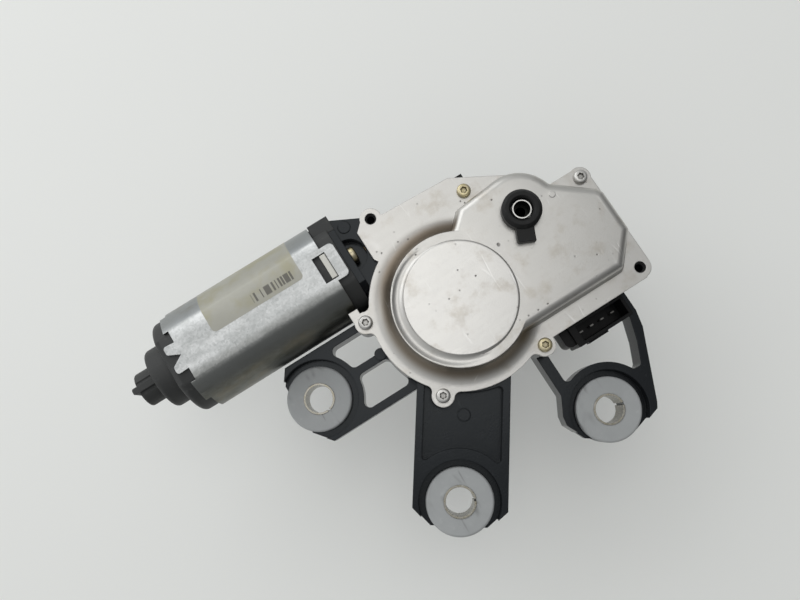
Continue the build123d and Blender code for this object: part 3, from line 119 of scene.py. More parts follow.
class Finish:
    """A node material round one Principled shader, drawn in the piece's own millimetres."""

    def __init__(self, name, **constants):
        self.material = bpy.data.materials.new(name)
        self.material.use_nodes = True
        self.tree = self.material.node_tree
        self.shader = self.tree.nodes["Principled BSDF"]
        for socket, value in constants.items():
            self.shader.inputs[socket.replace("_", " ")].default_value = value
        place = self.node("ShaderNodeTexCoord", output="Object")
        self.place = self.node("ShaderNodeVectorMath", {"operation": "SCALE"}, {0: place, "Scale": 1 / MM})
        self.x, self.y, self.z = (
            self.node("ShaderNodeSeparateXYZ", {}, {0: self.place}, axis) for axis in range(3)
        )

    def node(self, kind, settings=None, sockets=None, output=0):
        """Any node: its type, its settings, then the values or links of its sockets."""
        made = self.tree.nodes.new(kind)
        for name, value in (settings or {}).items():
            setattr(made, name, value)
        for name, value in (sockets or {}).items():
            if isinstance(value, Value):
                self.tree.links.new(value.socket, made.inputs[name])
            elif value is not None:
                made.inputs[name].default_value = value
        return Value(self, made.outputs[output])

    def maths(self, operation, *values):
        """One Math node on values and numbers."""
        return self.node("ShaderNodeMath", {"operation": operation}, dict(enumerate(values)))

    def turned(self, stretch=(1, 1, 1), turn=(0, 0, 0), shift=(0, 0, 0)):
        """The piece's own place, stretched, turned and shifted for a pattern."""
        return self.node("ShaderNodeMapping", {}, {
            "Vector": self.place, "Scale": stretch, "Rotation": turn, "Location": shift,
        })

    def noise(self, size, detail, rough, place=None):
        """Cloudy noise from 0 to 1 with features of about the given size in millimetres."""
        return self.node("ShaderNodeTexNoise", {}, {
            "Vector": place or self.place, "Scale": 1 / size, "Detail": detail, "Roughness": rough,
        })

    def cells(self, size, feature="F1", place=None, output="Distance", chance=1.0):
        """Distance or shade of random cells of about the given size in millimetres."""
        return self.node("ShaderNodeTexVoronoi", {"feature": feature}, {
            "Vector": place or self.place, "Scale": 1 / size, "Randomness": chance,
        }, output)

    def grey(self, colour):
        """The brightness of a colour as a value."""
        return self.node("ShaderNodeRGBToBW", {}, {0: colour})

    def mix(self, first, second, share):
        """One colour turned into another by a share."""
        return self.node("ShaderNodeMix", {"data_type": "RGBA"}, {
            0: share, 6: self.colour(first), 7: self.colour(second),
        }, 2)

    def colour(self, value):
        """A plain colour with its alpha; a socket's colour stays as it is."""
        return value if isinstance(value, Value) else (*value, 1.0)

    def radius(self, x, y):
        """Distance from an upright axis, in millimetres."""
        east = self.x - x
        north = self.y - y
        return (east * east + north * north) ** 0.5

    def put(self, socket, value):
        """Links a value to one of the shader's sockets."""
        self.tree.links.new(value.socket, self.shader.inputs[socket])

    def relief(self, height, depth, edge=0.0):
        """Bump of a depth in millimetres, on edges rounded by a radius in millimetres."""
        rounded = None
        if edge:
            rounded = self.node("ShaderNodeBevel", {"samples": 4}, {"Radius": edge * MM})
        self.put("Normal", self.node("ShaderNodeBump", {}, {
            "Strength": 1.0, "Distance": depth * MM, "Height": height, "Normal": rounded,
        }))


def scratches(f, size, seed, share=0.35, width=0.03):
    """Sparse fine scratches: thin borders of stretched cells, thinned out by a cloud."""
    place = f.turned((1.0, 0.14, 1.0), (0.0, 0.0, seed * 1.3), (seed * 31.0, seed * 17.0, 0.0))
    line = f.cells(size, "DISTANCE_TO_EDGE", place).rise(width, 0.0)
    cloud = f.noise(size * 2.1, 2.0, 0.5, f.turned(shift=(seed * 9.0, 0, 0)))
    bare, blur = 1 - share, 0.08
    return line * cloud.rise(bare - blur, bare + blur)


# Finishes

def cast_cover():
    """Tumbled aluminium: satin warm grey with grain, pits, stains and scratches, a painted highlight on
    the disc, painted shade on the plateau, and painted shade with grime in the gutter.
    """
    f = Finish("cast_cover", Metallic=1.0)
    cloud = f.noise(21.0, 4.0, 0.6)
    stain = f.noise(8.5, 5.0, 0.62, f.turned(shift=(40, 0, 0)))
    grain = f.noise(0.42, 3.0, 0.7)
    streak = f.noise(1.1, 3.0, 0.6, f.turned((0.12, 1.0, 1.0), (0, 0, -0.5)))
    porous = f.noise(13.0, 2.0, 0.5, f.turned(shift=(0, 30, 0))).rise(0.50, 0.64)
    pits = f.cells(3.4).rise(0.15, 0.05) * porous
    marks = scratches(f, 9.0, 1.0) + scratches(f, 6.0, 2.2, 0.3) + scratches(f, 13.0, 3.7, 0.3)
    # from the wheel's centre outwards: disc, nicked ridge, sunk gutter, plateau
    out = f.radius(*WHEEL)
    sunk = f.z.rise(COVER_TOP - 0.3, COVER_TOP - 1.7)
    disc_highlight = out.rise(DISC_R - 0.2, DISC_R - 1.4)
    chips = f.cells(8.0, place=f.turned(shift=(3, 4, 0))).rise(0.13, 0.07)
    nicks = out.near(RIDGE_R - 0.5, 1.3) * chips * f.z.rise(COVER_TOP - 1.0, COVER_TOP - 0.6)
    # painted shade with grime: the sunk gutter
    gutter = out.near(RIDGE_R + 1.8, 4.4) * sunk
    # painted shade with grime: darker still beside the ridge, fading out towards -y
    shade_and_grime = out.near(RIDGE_R + 3.6, 5.0) * sunk * f.y.rise(-8.0, 8.0)
    plateau_shade = f.z.rise(COVER_TOP - 0.8, COVER_TOP - 0.2) * out.rise(RIDGE_R - 0.4, RIDGE_R + 3.6)
    colour = f.mix((0.45, 0.44, 0.418), (0.555, 0.545, 0.525), cloud)
    # painted highlight: the disc painted lighter
    colour = f.mix(colour, (0.63, 0.62, 0.60), disc_highlight * 0.65)
    # painted shade: the plateau painted a little darker
    colour = f.mix(colour, (0.47, 0.465, 0.445), plateau_shade * 0.25)
    colour = f.mix(colour, (0.36, 0.325, 0.275), stain.rise(0.50, 0.74) * 0.5)
    # painted shade with grime in the gutter, darkest beside the ridge
    colour = f.mix(colour, (0.17, 0.135, 0.095), gutter * 0.85)
    colour = f.mix(colour, (0.11, 0.085, 0.06), shade_and_grime * 0.8)
    colour = f.mix(colour, (0.80, 0.795, 0.785), marks * 0.4)
    colour = f.mix(colour, (0.13, 0.12, 0.11), pits * 0.7 + nicks * 0.8)
    f.put("Base Color", colour)
    tooled = 0.12 * (grain - 0.5) + 0.08 * streak
    f.put("Roughness", 0.27 + 0.10 * cloud + tooled + 0.2 * pits + 0.12 * gutter)
    raised = grain * 0.35 + streak * 0.3 + stain * 0.5
    f.relief(raised - pits * 1.4 - nicks * 2.0 - marks * 0.35, 0.07, 0.4)
    return f.material


def black_coat():
    """Semi-gloss black coat on a casting, slightly blue, with a fine orange-peel and dust."""
    f = Finish("black_coat", IOR=1.5, Specular_IOR_Level=0.26, Specular_Tint=(0.90, 0.96, 1.0, 1.0))
    cloud = f.noise(16.0, 4.0, 0.6)
    peel = f.noise(0.8, 2.0, 0.5)
    dust = f.noise(3.2, 5.0, 0.7, f.turned(shift=(11, 5, 0))).rise(0.56, 0.8)
    nicks = scratches(f, 7.0, 1.6, 0.25)
    colour = f.mix((0.0025, 0.003, 0.004), (0.0055, 0.0065, 0.008), cloud)
    colour = f.mix(colour, (0.040, 0.043, 0.047), dust * 0.22)
    colour = f.mix(colour, (0.12, 0.125, 0.13), nicks * 0.3)
    f.put("Base Color", colour)
    f.put("Roughness", 0.16 + 0.08 * cloud + 0.16 * dust)
    f.relief(peel * 0.4 + cloud * 0.8, 0.06, 0.5)
    return f.material


def zinc_can():
    """Zinc-plated drawn steel: cool grey with a bright spangled flat, long drawing lines, and painted
    shade on the side away from the label.
    """
    f = Finish("zinc_can", Metallic=1.0)
    cloud = f.noise(18.0, 4.0, 0.6)
    lines = f.noise(1.5, 4.0, 0.65, f.turned((0.03, 1.0, 1.0)))
    speck = f.grey(f.cells(0.8, output="Color"))
    patch = f.noise(7.0, 4.0, 0.65, f.turned((0.5, 1.0, 1.0), shift=(0, 0, 13))).rise(0.36, 0.66)
    freckle = f.noise(0.5, 4.0, 0.75).rise(0.58, 0.70)
    tarnish = f.noise(9.0, 3.0, 0.6, f.turned((0.6, 1.0, 1.0), shift=(25, 0, 0))).rise(0.5, 0.72)
    rub = f.noise(5.0, 4.0, 0.65, f.turned((0.35, 1.0, 1.0), shift=(3, 9, 0))).rise(0.52, 0.75)
    # the flat on top, and the curved side away from the label, which gets painted shade that is darker
    # towards its lower part
    flat = MOTOR_Z + CAN_FLAT
    top = f.z.rise(flat - 1.2, flat - 0.1)
    warm = tarnish * f.z.rise(flat - 0.8, flat - 6.8)
    side = f.y.rise(MOTOR_Y - 6.0, MOTOR_Y - 9.5) * (0.55 + 0.6 * cloud)
    low = f.z.rise(flat - 2.3, flat - 6.8) * f.y.rise(MOTOR_Y, MOTOR_Y - 10.0)
    spangle = f.mix((0.34, 0.35, 0.345), (0.72, 0.725, 0.72), speck * 0.6 + patch * 0.4)
    colour = f.mix((0.25, 0.265, 0.27), (0.35, 0.36, 0.36), cloud)
    colour = f.mix(colour, spangle, top * 0.85)
    colour = f.mix(colour, (0.26, 0.265, 0.255), top * freckle * patch * 0.55)
    # painted shade on the side away from the label
    colour = f.mix(colour, (0.165, 0.168, 0.145), side * 0.4)
    # painted shade, mottled by the patches, darker still on the lower part of that side
    colour = f.mix(colour, (0.10, 0.098, 0.078), low * (0.5 + 0.4 * patch))
    colour = f.mix(colour, (0.13, 0.13, 0.115), freckle * (1 - top) * 0.45)
    colour = f.mix(colour, (0.20, 0.18, 0.135), warm * 0.6)
    colour = f.mix(colour, (0.20, 0.205, 0.195), rub * 0.35)
    f.put("Base Color", colour)
    f.put("Roughness", 0.25 + 0.08 * lines + 0.10 * cloud + top * (0.06 + 0.16 * speck))
    f.relief(lines * 0.5 + speck * top * 0.8 + freckle * 0.5, 0.03, 0.3)
    return f.material


def moulded_plastic(name, dark, light, rough, grain_size=0.5, dusty=0.35, shine=0.3):
    """Moulded plastic with a fine eroded grain and a little dust."""
    f = Finish(name, IOR=1.47, Specular_IOR_Level=shine)
    cloud = f.noise(11.0, 4.0, 0.6)
    grain = f.noise(grain_size, 3.0, 0.6)
    dust = f.noise(2.4, 5.0, 0.7, f.turned(shift=(7, 3, 1))).rise(0.55, 0.8)
    dust_colour = tuple(min(1.0, 2.2 * c + 0.02) for c in light)
    f.put("Base Color", f.mix(f.mix(dark, light, cloud), dust_colour, dust * dusty))
    f.put("Roughness", rough + 0.12 * (cloud - 0.5) + 0.10 * dust)
    f.relief(grain, 0.05, 0.35)
    return f.material


def moulded_rubber(name, dark, light, rough, bloom, dirt=None):
    """Soft rubber with a pale bloom, fine pores and a few rubbed marks."""
    f = Finish(name, IOR=1.45, Specular_IOR_Level=0.3)
    cloud = f.noise(9.0, 4.0, 0.62)
    pores = f.noise(0.35, 3.0, 0.65)
    rub = f.noise(3.6, 5.0, 0.7, f.turned(shift=(5, 8, 0))).rise(0.55, 0.78)
    colour = f.mix(dark, light, cloud)
    colour = f.mix(colour, bloom, rub * 0.45)
    if dirt:
        colour = f.mix(colour, dirt, scratches(f, 6.0, 2.7, 0.4, 0.07) * 0.5)
    f.put("Base Color", colour)
    f.put("Roughness", rough + 0.10 * cloud)
    f.relief(pores + 0.6 * cloud, 0.04, 0.5)
    return f.material


def plated_steel(name, dark, light, rough, tint=None, shade_and_grime=0.0, bore_r=0.0):
    """Plated or turned metal with tool lines, a drifting tint, painted shade in its crevices and a bore
    painted dark as shade.
    """
    f = Finish(name, Metallic=1.0)
    cloud = f.noise(5.5, 4.0, 0.6)
    lines = f.noise(0.5, 3.0, 0.6, f.turned((1.0, 1.0, 0.08)))
    colour = f.mix(dark, light, cloud)
    if tint:
        drift = f.noise(2.2, 3.0, 0.6, f.turned(shift=(3, 1, 2))).rise(0.42, 0.66)
        colour = f.mix(colour, tint, drift * 0.6)
    if shade_and_grime:
        # painted shade: crevices darkened where ambient occlusion finds them within the given reach
        open_sky = f.node("ShaderNodeAmbientOcclusion", {"samples": 4}, {"Distance": shade_and_grime * MM}, "AO")
        colour = f.mix(colour, (0.03, 0.027, 0.02), open_sky.rise(0.8, 0.35) * 0.9)
    if bore_r:
        # painted shade: the inside of the bore painted near-black
        bore_shade = f.radius(0, 0).rise(bore_r + 0.2, bore_r + 0.05)
        colour = f.mix(colour, (0.012, 0.012, 0.011), bore_shade)
    f.put("Base Color", colour)
    f.put("Roughness", rough + 0.14 * lines + 0.06 * cloud)
    f.relief(lines, 0.02, 0.25)
    return f.material


def enamelled_wire():
    """Copper wire laid side by side under clear enamel."""
    f = Finish("enamelled_wire", Metallic=0.85, Coat_Weight=0.4)
    cloud = f.noise(4.0, 3.0, 0.6)
    wire = f.node("ShaderNodeTexWave", {"bands_direction": "DIAGONAL"}, {
        "Vector": f.place, "Scale": 0.55, "Distortion": 1.4, "Detail": 2.0,
    }, "Fac")
    f.put("Base Color", f.mix((0.33, 0.11, 0.045), (0.62, 0.27, 0.12), cloud * 0.5 + wire * 0.5))
    f.put("Roughness", 0.32 + 0.15 * cloud)
    f.relief(wire, 0.12)
    return f.material


def stacked_sheet():
    """Sheet steel punchings stacked along the armature, with dull blue-grey edges."""
    f = Finish("stacked_sheet", Metallic=0.9)
    cloud = f.noise(6.0, 3.0, 0.6)
    sheets = f.node("ShaderNodeTexWave", {"bands_direction": "X", "wave_profile": "SIN"}, {
        "Vector": f.place, "Scale": 0.62, "Distortion": 0.1,
    }, "Fac")
    f.put("Base Color", f.mix((0.17, 0.17, 0.18), (0.36, 0.36, 0.37), sheets * 0.6 + cloud * 0.4))
    f.put("Roughness", 0.42 + 0.15 * cloud)
    f.relief(sheets, 0.08)
    return f.material


def lacquered_board():
    """Green lacquered board with a faint weave."""
    f = Finish("lacquered_board", IOR=1.5, Coat_Weight=0.3)
    cloud = f.noise(7.0, 3.0, 0.6)
    weave = f.cells(0.7, chance=0.25)
    f.put("Base Color", f.mix((0.012, 0.075, 0.03), (0.03, 0.15, 0.065), cloud * 0.6 + weave * 0.4))
    f.put("Roughness", 0.30 + 0.15 * cloud)
    f.relief(weave, 0.03)
    return f.material


def pale_sticker():
    """Silvery-cream label with no words: paper fibre, creases, yellowed patches and plain stripes."""
    f = Finish("pale_sticker", IOR=1.5, Metallic=0.35)
    cloud = f.noise(12.0, 4.0, 0.6)
    fibre = f.noise(0.6, 3.0, 0.6, f.turned((0.3, 1.0, 1.0)))
    yellow = f.noise(10.0, 3.0, 0.5, f.turned(shift=(0, 21, 0))).rise(0.42, 0.66)
    crease = scratches(f, 11.0, 4.4, 0.25, 0.03)
    # stripes of random shade, inside one block
    stripes_per_mm = 2.4
    block_x, block_y, half_length, half_width = -96.5, 26.2, 10.5, 2.2
    step = f.maths("FLOOR", f.x * stripes_per_mm)
    stripes = f.node("ShaderNodeTexWhiteNoise", {"noise_dimensions": "1D"}, {"W": step}).rise(0.47, 0.53)
    along = f.x.near(block_x, half_length).rise(0.0, 0.1)
    across = f.y.near(block_y, half_width).rise(0.0, 0.15)
    colour = f.mix((0.28, 0.275, 0.235), (0.38, 0.375, 0.335), cloud)
    colour = f.mix(colour, (0.29, 0.27, 0.165), yellow * 0.6)
    colour = f.mix(colour, (0.42, 0.41, 0.37), crease * 0.3)
    colour = f.mix(colour, (0.07, 0.065, 0.06), stripes * (along * across) * 0.8)
    f.put("Base Color", colour)
    f.put("Roughness", 0.36 + 0.12 * cloud + 0.06 * fibre)
    f.relief(fibre * 0.3 + cloud * 0.8 + crease, 0.04)
    return f.material


# the crevice darkening of the screws is painted shade, its reach given in millimetres
metals = {
    "screw_steel": dict(dark=(0.40, 0.395, 0.38), light=(0.56, 0.55, 0.53), rough=0.24, shade_and_grime=1.6),
    "bright_steel": dict(dark=(0.50, 0.50, 0.50), light=(0.64, 0.64, 0.635), rough=0.20),
    "yellow_zinc": dict(dark=(0.42, 0.36, 0.20), light=(0.56, 0.50, 0.32), rough=0.22,
                        tint=(0.46, 0.41, 0.32), shade_and_grime=1.6),
    "sleeve_zinc": dict(dark=(0.22, 0.21, 0.18), light=(0.40, 0.385, 0.345), rough=0.18,
                        tint=(0.26, 0.235, 0.17)),
    "tube_steel": dict(dark=(0.50, 0.49, 0.47), light=(0.64, 0.63, 0.61), rough=0.2, bore_r=TUBE_R),
    "brass": dict(dark=(0.55, 0.38, 0.14), light=(0.70, 0.52, 0.22), rough=0.24),
    "bronze": dict(dark=(0.32, 0.21, 0.10), light=(0.45, 0.31, 0.16), rough=0.42),
    "tinned": dict(dark=(0.20, 0.195, 0.185), light=(0.30, 0.295, 0.28), rough=0.42),
}
plastics = {
    "dark_plastic": dict(dark=(0.030, 0.031, 0.031), light=(0.046, 0.047, 0.046), rough=0.55),
    "pale_plastic": dict(dark=(0.55, 0.54, 0.49), light=(0.68, 0.67, 0.62), rough=0.45),
    "black_plastic": dict(dark=(0.002, 0.002, 0.0022), light=(0.004, 0.004, 0.0042), rough=0.36,
                          dusty=0.06, shine=0.16),
    "gear_plastic": dict(dark=(0.58, 0.56, 0.49), light=(0.70, 0.68, 0.61), rough=0.4,
                         grain_size=0.8, dusty=0.1),
    "ferrite": dict(dark=(0.035, 0.035, 0.037), light=(0.065, 0.065, 0.068), rough=0.5,
                    grain_size=0.9, dusty=0.2),
    "carbon": dict(dark=(0.02, 0.02, 0.02), light=(0.045, 0.045, 0.045), rough=0.48,
                   grain_size=0.4, dusty=0.1),
}
rubbers = {
    "grey_rubber": dict(dark=(0.31, 0.32, 0.322), light=(0.38, 0.39, 0.39), rough=0.62,
                        bloom=(0.48, 0.485, 0.48), dirt=(0.13, 0.13, 0.125)),
    "black_rubber": dict(dark=(0.004, 0.004, 0.004), light=(0.008, 0.008, 0.008), rough=0.42,
                         bloom=(0.04, 0.04, 0.04)),
}
finishes = {
    "cover_metal": cast_cover(),
    "black_coat": black_coat(),
    "zinc_steel": zinc_can(),
    "board": lacquered_board(),
    "copper": enamelled_wire(),
    "laminations": stacked_sheet(),
    "sticker": pale_sticker(),
}
for make, looks in ((plated_steel, metals), (moulded_plastic, plastics), (moulded_rubber, rubbers)):
    for name, look in looks.items():
        finishes[name] = make(name, **look)

# Pieces whose finish is not the one of their slot
own_finish = {
    "sleeve_left": "sleeve_zinc", "sleeve_lower": "sleeve_zinc", "sleeve_right": "sleeve_zinc",
    "cover_screws_silver": "screw_steel", "shaft_washer": "screw_steel", "washer_tube": "tube_steel",
}
slots = {row["node"]: row["material_slot"] for row in frame["record"]["subparts"]}


def smooth_faces():
    """Modifier tree that joins the facets of a solid and smooths all but its sharp edges."""
    facet_gap = 0.002 * MM
    sharp_angle = radians(32)
    tree = bpy.data.node_groups.new("smooth_faces", "GeometryNodeTree")
    tree.interface.new_socket("Geometry", in_out="INPUT", socket_type="NodeSocketGeometry")
    tree.interface.new_socket("Geometry", in_out="OUTPUT", socket_type="NodeSocketGeometry")
    start = tree.nodes.new("NodeGroupInput")
    end = tree.nodes.new("NodeGroupOutput")
    join = tree.nodes.new("GeometryNodeMergeByDistance")
    join.inputs["Distance"].default_value = facet_gap
    faces = tree.nodes.new("GeometryNodeSetShadeSmooth")
    angle = tree.nodes.new("GeometryNodeInputMeshEdgeAngle")
    sharp = tree.nodes.new("FunctionNodeCompare")
    sharp.data_type = "FLOAT"
    sharp.operation = "GREATER_THAN"
    sharp.inputs[1].default_value = sharp_angle
    edges = tree.nodes.new("GeometryNodeSetShadeSmooth")
    edges.domain = "EDGE"
    edges.inputs["Shade Smooth"].default_value = False
    for first, second in (
        (start.outputs[0], join.inputs["Geometry"]), (join.outputs[0], faces.inputs["Geometry"]),
        (faces.outputs[0], edges.inputs["Geometry"]), (angle.outputs["Unsigned Angle"], sharp.inputs[0]),
        (sharp.outputs[0], edges.inputs["Selection"]), (edges.outputs[0], end.inputs[0]),
    ):
        tree.links.new(first, second)
    return tree


smoothing = smooth_faces()
for name, solid in nodes.items():
    solid.material_slots[0].material = finishes[own_finish.get(name, slots[name])]
    solid.modifiers.new("smooth_faces", "NODES").node_group = smoothing


# New pieces

def placed(name, mesh, material):
    """A mesh and its material as an object of the scene."""
    data = bpy.data.meshes.new(name)
    mesh.to_mesh(data)
    mesh.free()
    data.materials.append(material)
    made = bpy.data.objects.new(name, data)
    scene.collection.objects.link(made)
    return made


def merged(mesh):
    """Joins the doubles of a mesh."""
    bmesh.ops.remove_doubles(mesh, verts=mesh.verts, dist=0.001 * MM)


def piece(name, mesh, finish, body, stands_for=()):
    """A finished mesh as a piece of the motor, riding on a body."""
    merged(mesh)
    bmesh.ops.recalc_face_normals(mesh, faces=mesh.faces)
    made = placed(name, mesh, finishes[finish])
    made.modifiers.new("smooth_faces", "NODES").node_group = smoothing
    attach(made, body)
    if stands_for:
        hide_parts(*stands_for)


def extruded(mesh, edges):
    """Extrudes edges in place: the new vertices and the edges between them."""
    grown = bmesh.ops.extrude_edge_only(mesh, edges=edges)["geom"]
    verts = [g for g in grown if isinstance(g, bmesh.types.BMVert)]
    rim = [g for g in grown if isinstance(g, bmesh.types.BMEdge) and all(v in verts for v in g.verts)]
    return verts, rim


def profile(mesh, points):
    """Closed outline through (radius, height) points in millimetres, beside the upright axis."""
    verts = [mesh.verts.new((r * MM, 0, z * MM)) for r, z in points]
    edges = [mesh.edges.new(pair) for pair in zip(verts, verts[1:] + verts[:1])]
    return verts, edges


def stacked(mesh, levels, count=48):
    """Closed skin through rings of (radius, height, lobes, swing) in millimetres, capped at both ends."""
    verts = bmesh.ops.create_circle(mesh, segments=count, radius=MM)["verts"]
    edges = [e for e in mesh.edges if e.verts[0] in verts]
    ends = []
    made = list(verts)
    for step, (radius, height, lobes, swing) in enumerate(levels):
        if step:
            verts, edges = extruded(mesh, edges)
            made += verts
        for v in verts:
            turn = atan2(v.co.y, v.co.x)
            reach = radius * MM * (1 + swing * cos(lobes * turn))
            v.co = (reach * cos(turn), reach * sin(turn), height * MM)
        if step in (0, len(levels) - 1):
            ends.append(edges)
    for edges in ends:
        bmesh.ops.contextual_create(mesh, geom=edges)
    return made


def star_screw(mesh, place, head_r, head_h, shank_r, shank_len):
    """One screw with a six-lobed socket: its head stands along the place's z."""
    socket = 0.44 * head_r
    verts = stacked(mesh, [
        # socket, from its floor to its mouth
        (0.84 * socket, 0.50 * head_h, 6, 0.13),
        (socket, 0.93 * head_h, 6, 0.14),
        (1.10 * socket, head_h, 6, 0.08),
        # rounded head, down to its seat
        (0.70 * head_r, head_h, 0, 0),
        (0.86 * head_r, 0.93 * head_h, 0, 0),
        (0.96 * head_r, 0.78 * head_h, 0, 0),
        (head_r, 0.55 * head_h, 0, 0),
        (head_r, 0.04 * head_h, 0, 0),
        (0.97 * head_r, 0, 0, 0),
        # shank
        (shank_r, 0, 0, 0),
        (shank_r, -shank_len, 0, 0),
    ])
    bmesh.ops.transform(mesh, matrix=place, verts=verts)


def cover_screws(spots):
    """Screws upright on the cover's flange, each with its socket turned another way."""
    first_turn, next_turn = 17, 41
    mesh = bmesh.new()
    for i, (x, y) in enumerate(spots):
        turn = Matrix.Rotation(radians(first_turn + next_turn * i), 4, "Z")
        place = Matrix.Translation((x * MM, y * MM, FLANGE_TOP * MM)) @ turn
        star_screw(mesh, place, **COVER_SCREW)
    return mesh


def flange_screws():
    """Two screws along the motor, one in each pocket of the neck, as long as the solids are."""
    mesh = bmesh.new()
    low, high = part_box("flange_screws")
    seat = low.x + FLANGE_SCREW_GRIP * MM
    for side in (1, -1):
        z = MOTOR_Z + side * FLANGE_SCREW_OFFSET
        place = Matrix.Translation((seat, FLANGE_SCREW_Y * MM, z * MM)) @ Matrix.Rotation(pi / 2, 4, "Y")
        star_screw(mesh, place, head_r=3.5, head_h=(high.x - seat) / MM, shank_r=1.9, shank_len=7.4)
    return mesh


def output_shaft():
    """Turned shaft with a retaining groove, a serrated cone and a rolled thread on a thinner core."""
    mesh = bmesh.new()
    verts, edges = profile(mesh, [
        # thread's core and the cone
        (3.0, -52.0), (3.25, -52.0), (3.4, -51.4), (3.4, -43.4),
        (4.05, -43.0), (4.15, -42.9), (4.15, -42.6), (5.0, -35.0),
        # groove of the retaining ring
        (5.0, -24.1), (4.4, -24.1), (4.4, -23.3), (5.0, -23.3),
        # collar under the pinion, then the upper end
        (5.0, 6.3), (6.6, 6.3), (6.6, 23.7), (5.0, 23.7),
        (5.0, 31.6), (3.0, 31.6),
    ])
    axis = {"axis": (0, 0, 1), "cent": (0, 0, 0)}
    bmesh.ops.spin(mesh, geom=verts + edges, steps=64, angle=2 * pi, use_merge=True, **axis)
    ribs = 48
    stacked(mesh, [
        (4.9, -36.0, ribs, 0), (4.86, -36.4, ribs, 0.018),
        (4.24, -42.4, ribs, 0.022), (4.1, -42.8, ribs, 0),
    ], 3 * ribs)
    pitch, turns, steps = 1.25, 6.2, 36
    flank, rim = profile(mesh, [(3.3, -51.25), (3.3, -50.15), (3.96, -50.62), (3.96, -50.78)])
    face = mesh.faces.new(flank)
    count = int(turns * steps)
    bmesh.ops.spin(mesh, geom=flank + rim + [face], steps=count, angle=2 * pi * count / steps,
                   dvec=(0, 0, pitch * MM / steps), **axis)
    return mesh


def can_sticker():
    """Bare label that wraps from the can's flat down its curved side, with rounded corners."""
    rear, front = -124.8, -84.4
    flat_edge = MOTOR_Y + 0.7
    lift, thickness, corner_r = 0.05, 0.04, 1.8
    wrap = radians(47)
    # where the flat turns into the curve
    bend = atan2(CAN_FLAT, (CAN_R ** 2 - CAN_FLAT ** 2) ** 0.5)
    bend_y = MOTOR_Y + (CAN_R + lift) * cos(bend)
    z = MOTOR_Z + CAN_FLAT + lift
    mesh = bmesh.new()
    verts = [mesh.verts.new((x * MM, flat_edge * MM, z * MM)) for x in (rear, front)]
    verts, edges = extruded(mesh, [mesh.edges.new(verts)])
    bmesh.ops.translate(mesh, vec=(0, (bend_y - flat_edge) * MM, 0), verts=verts)
    bmesh.ops.spin(mesh, geom=verts + edges, axis=(-1, 0, 0), cent=(0, MOTOR_Y * MM, MOTOR_Z * MM),
                   steps=18, angle=wrap)
    merged(mesh)
    corners = [v for v in mesh.verts if len(v.link_edges) == 2]
    bmesh.ops.bevel(mesh, geom=corners, offset=corner_r * MM, offset_type="OFFSET", affect="VERTICES",
                    segments=5, profile=0.5, material=-1)
    bmesh.ops.recalc_face_normals(mesh, faces=mesh.faces)
    bmesh.ops.solidify(mesh, geom=mesh.faces[:], thickness=thickness * MM)
    return mesh


piece("cover_screws_silver_drive", cover_screws(SILVER_SCREWS), "screw_steel", "housing",
      ["cover_screws_silver"])
piece("cover_screws_yellow_drive", cover_screws(YELLOW_SCREWS), "yellow_zinc", "housing",
      ["cover_screws_yellow"])
piece("flange_screws_drive", flange_screws(), "yellow_zinc", "housing", ["flange_screws"])
piece("output_shaft_turned", output_shaft(), "bright_steel", "output", ["output_shaft"])
piece("can_sticker", can_sticker(), "sticker", "housing")


# Studio

def floor():
    """Pale paper sweep just below the shaft's end."""
    half_side, gap = 20.0, 0.5 * MM
    f = Finish("pale_floor", IOR=1.4, Emission_Color=(0.80, 0.81, 0.79, 1.0), Emission_Strength=0.13)
    cloud = f.noise(260.0, 2.0, 0.5)
    f.put("Base Color", f.mix((0.69, 0.695, 0.675), (0.715, 0.72, 0.70), cloud))
    f.put("Roughness", 0.8 + 0.05 * cloud)
    mesh = bmesh.new()
    bmesh.ops.create_grid(mesh, x_segments=2, y_segments=2, size=half_side)
    bmesh.ops.translate(mesh, vec=(0, 0, cad_box[0].z - gap), verts=mesh.verts)
    made = placed("floor", mesh, f.material)


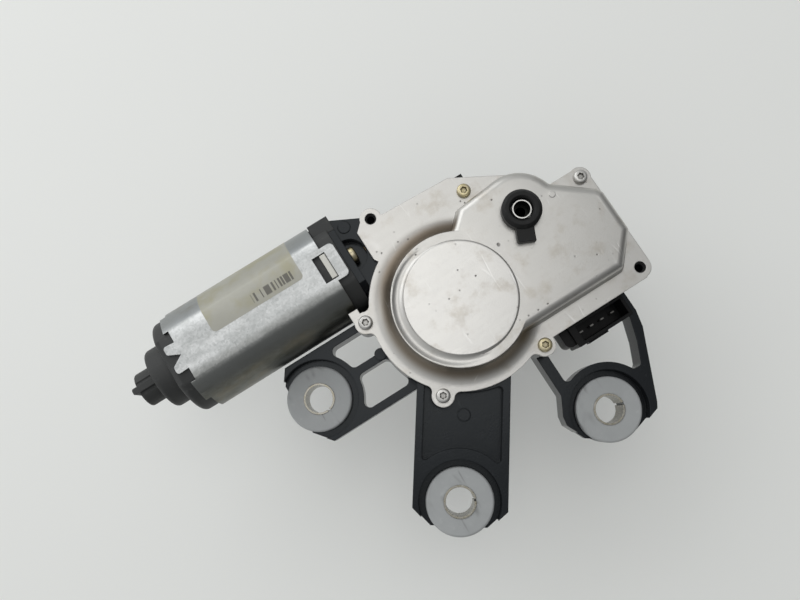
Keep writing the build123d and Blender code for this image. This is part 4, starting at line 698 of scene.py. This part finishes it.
def soft_light(name, place, aim, width, height, power, colour):
    """Rectangular soft light, in millimetres, looking at a point."""
    data = bpy.data.lights.new(name, "AREA")
    data.shape = "RECTANGLE"
    data.size = width * MM
    data.size_y = height * MM
    data.energy = power
    data.color = colour
    made = bpy.data.objects.new(name, data)
    made.location = Vector(place) * MM
    made.rotation_euler = (Vector(aim) - Vector(place)).to_track_quat("-Z", "Y").to_euler()
    scene.collection.objects.link(made)


def room(bright_side, dark, bright):
    """Room light that grows from a dark side to a bright one."""
    world = bpy.data.worlds.new("room")
    world.use_nodes = True
    tree = world.node_tree
    side = tree.nodes.new("ShaderNodeVectorMath")
    side.operation = "DOT_PRODUCT"
    side.inputs[1].default_value = Vector(bright_side).normalized()
    tree.links.new(tree.nodes.new("ShaderNodeTexCoord").outputs["Generated"], side.inputs[0])
    level = tree.nodes.new("ShaderNodeMapRange")
    level.interpolation_type = "SMOOTHSTEP"
    for name, value in (("From Min", -0.75), ("From Max", 0.95), ("To Min", dark), ("To Max", bright)):
        level.inputs[name].default_value = value
    tree.links.new(side.outputs["Value"], level.inputs["Value"])
    tree.links.new(level.outputs["Result"], tree.nodes["Background"].inputs["Strength"])
    tree.nodes["Background"].inputs["Color"].default_value = (0.95, 0.965, 0.97, 1.0)
    scene.world = world


def photo_camera():
    """Camera at the photograph's place and angle."""
    photo_width, focal_length = 800, 770
    sensor = 36.0
    eye = Vector((-76.304, -46.300, 325.171))
    right = Vector((0.846989, -0.531109, -0.023092))
    up = Vector((0.527927, 0.835221, 0.153944))
    back = Vector((-0.062475, -0.142580, 0.987810))
    lens = bpy.data.cameras.new("photo_camera")
    lens.sensor_width = sensor
    lens.lens = focal_length * sensor / photo_width
    lens.clip_start = 10 * MM
    camera = bpy.data.objects.new("photo_camera", lens)
    camera.matrix_world = Matrix.Translation(eye * MM) @ Matrix((right, up, back)).transposed().to_4x4()
    scene.collection.objects.link(camera)
    scene.camera = camera


floor()
soft_light("top_light", place=(20, 150, 1000), aim=(-40, 0, 20), width=520, height=520, power=1.0,
           colour=(1.0, 0.99, 0.97))
soft_light("window_light", place=(-300, 720, 520), aim=(-60, 0, 20), width=1000, height=640, power=3.0,
           colour=(0.98, 0.99, 1.0))
room(bright_side=(-0.5, 0.75, 0.4), dark=0.15, bright=0.92)
photo_camera()
scene.view_settings.view_transform = "Standard"
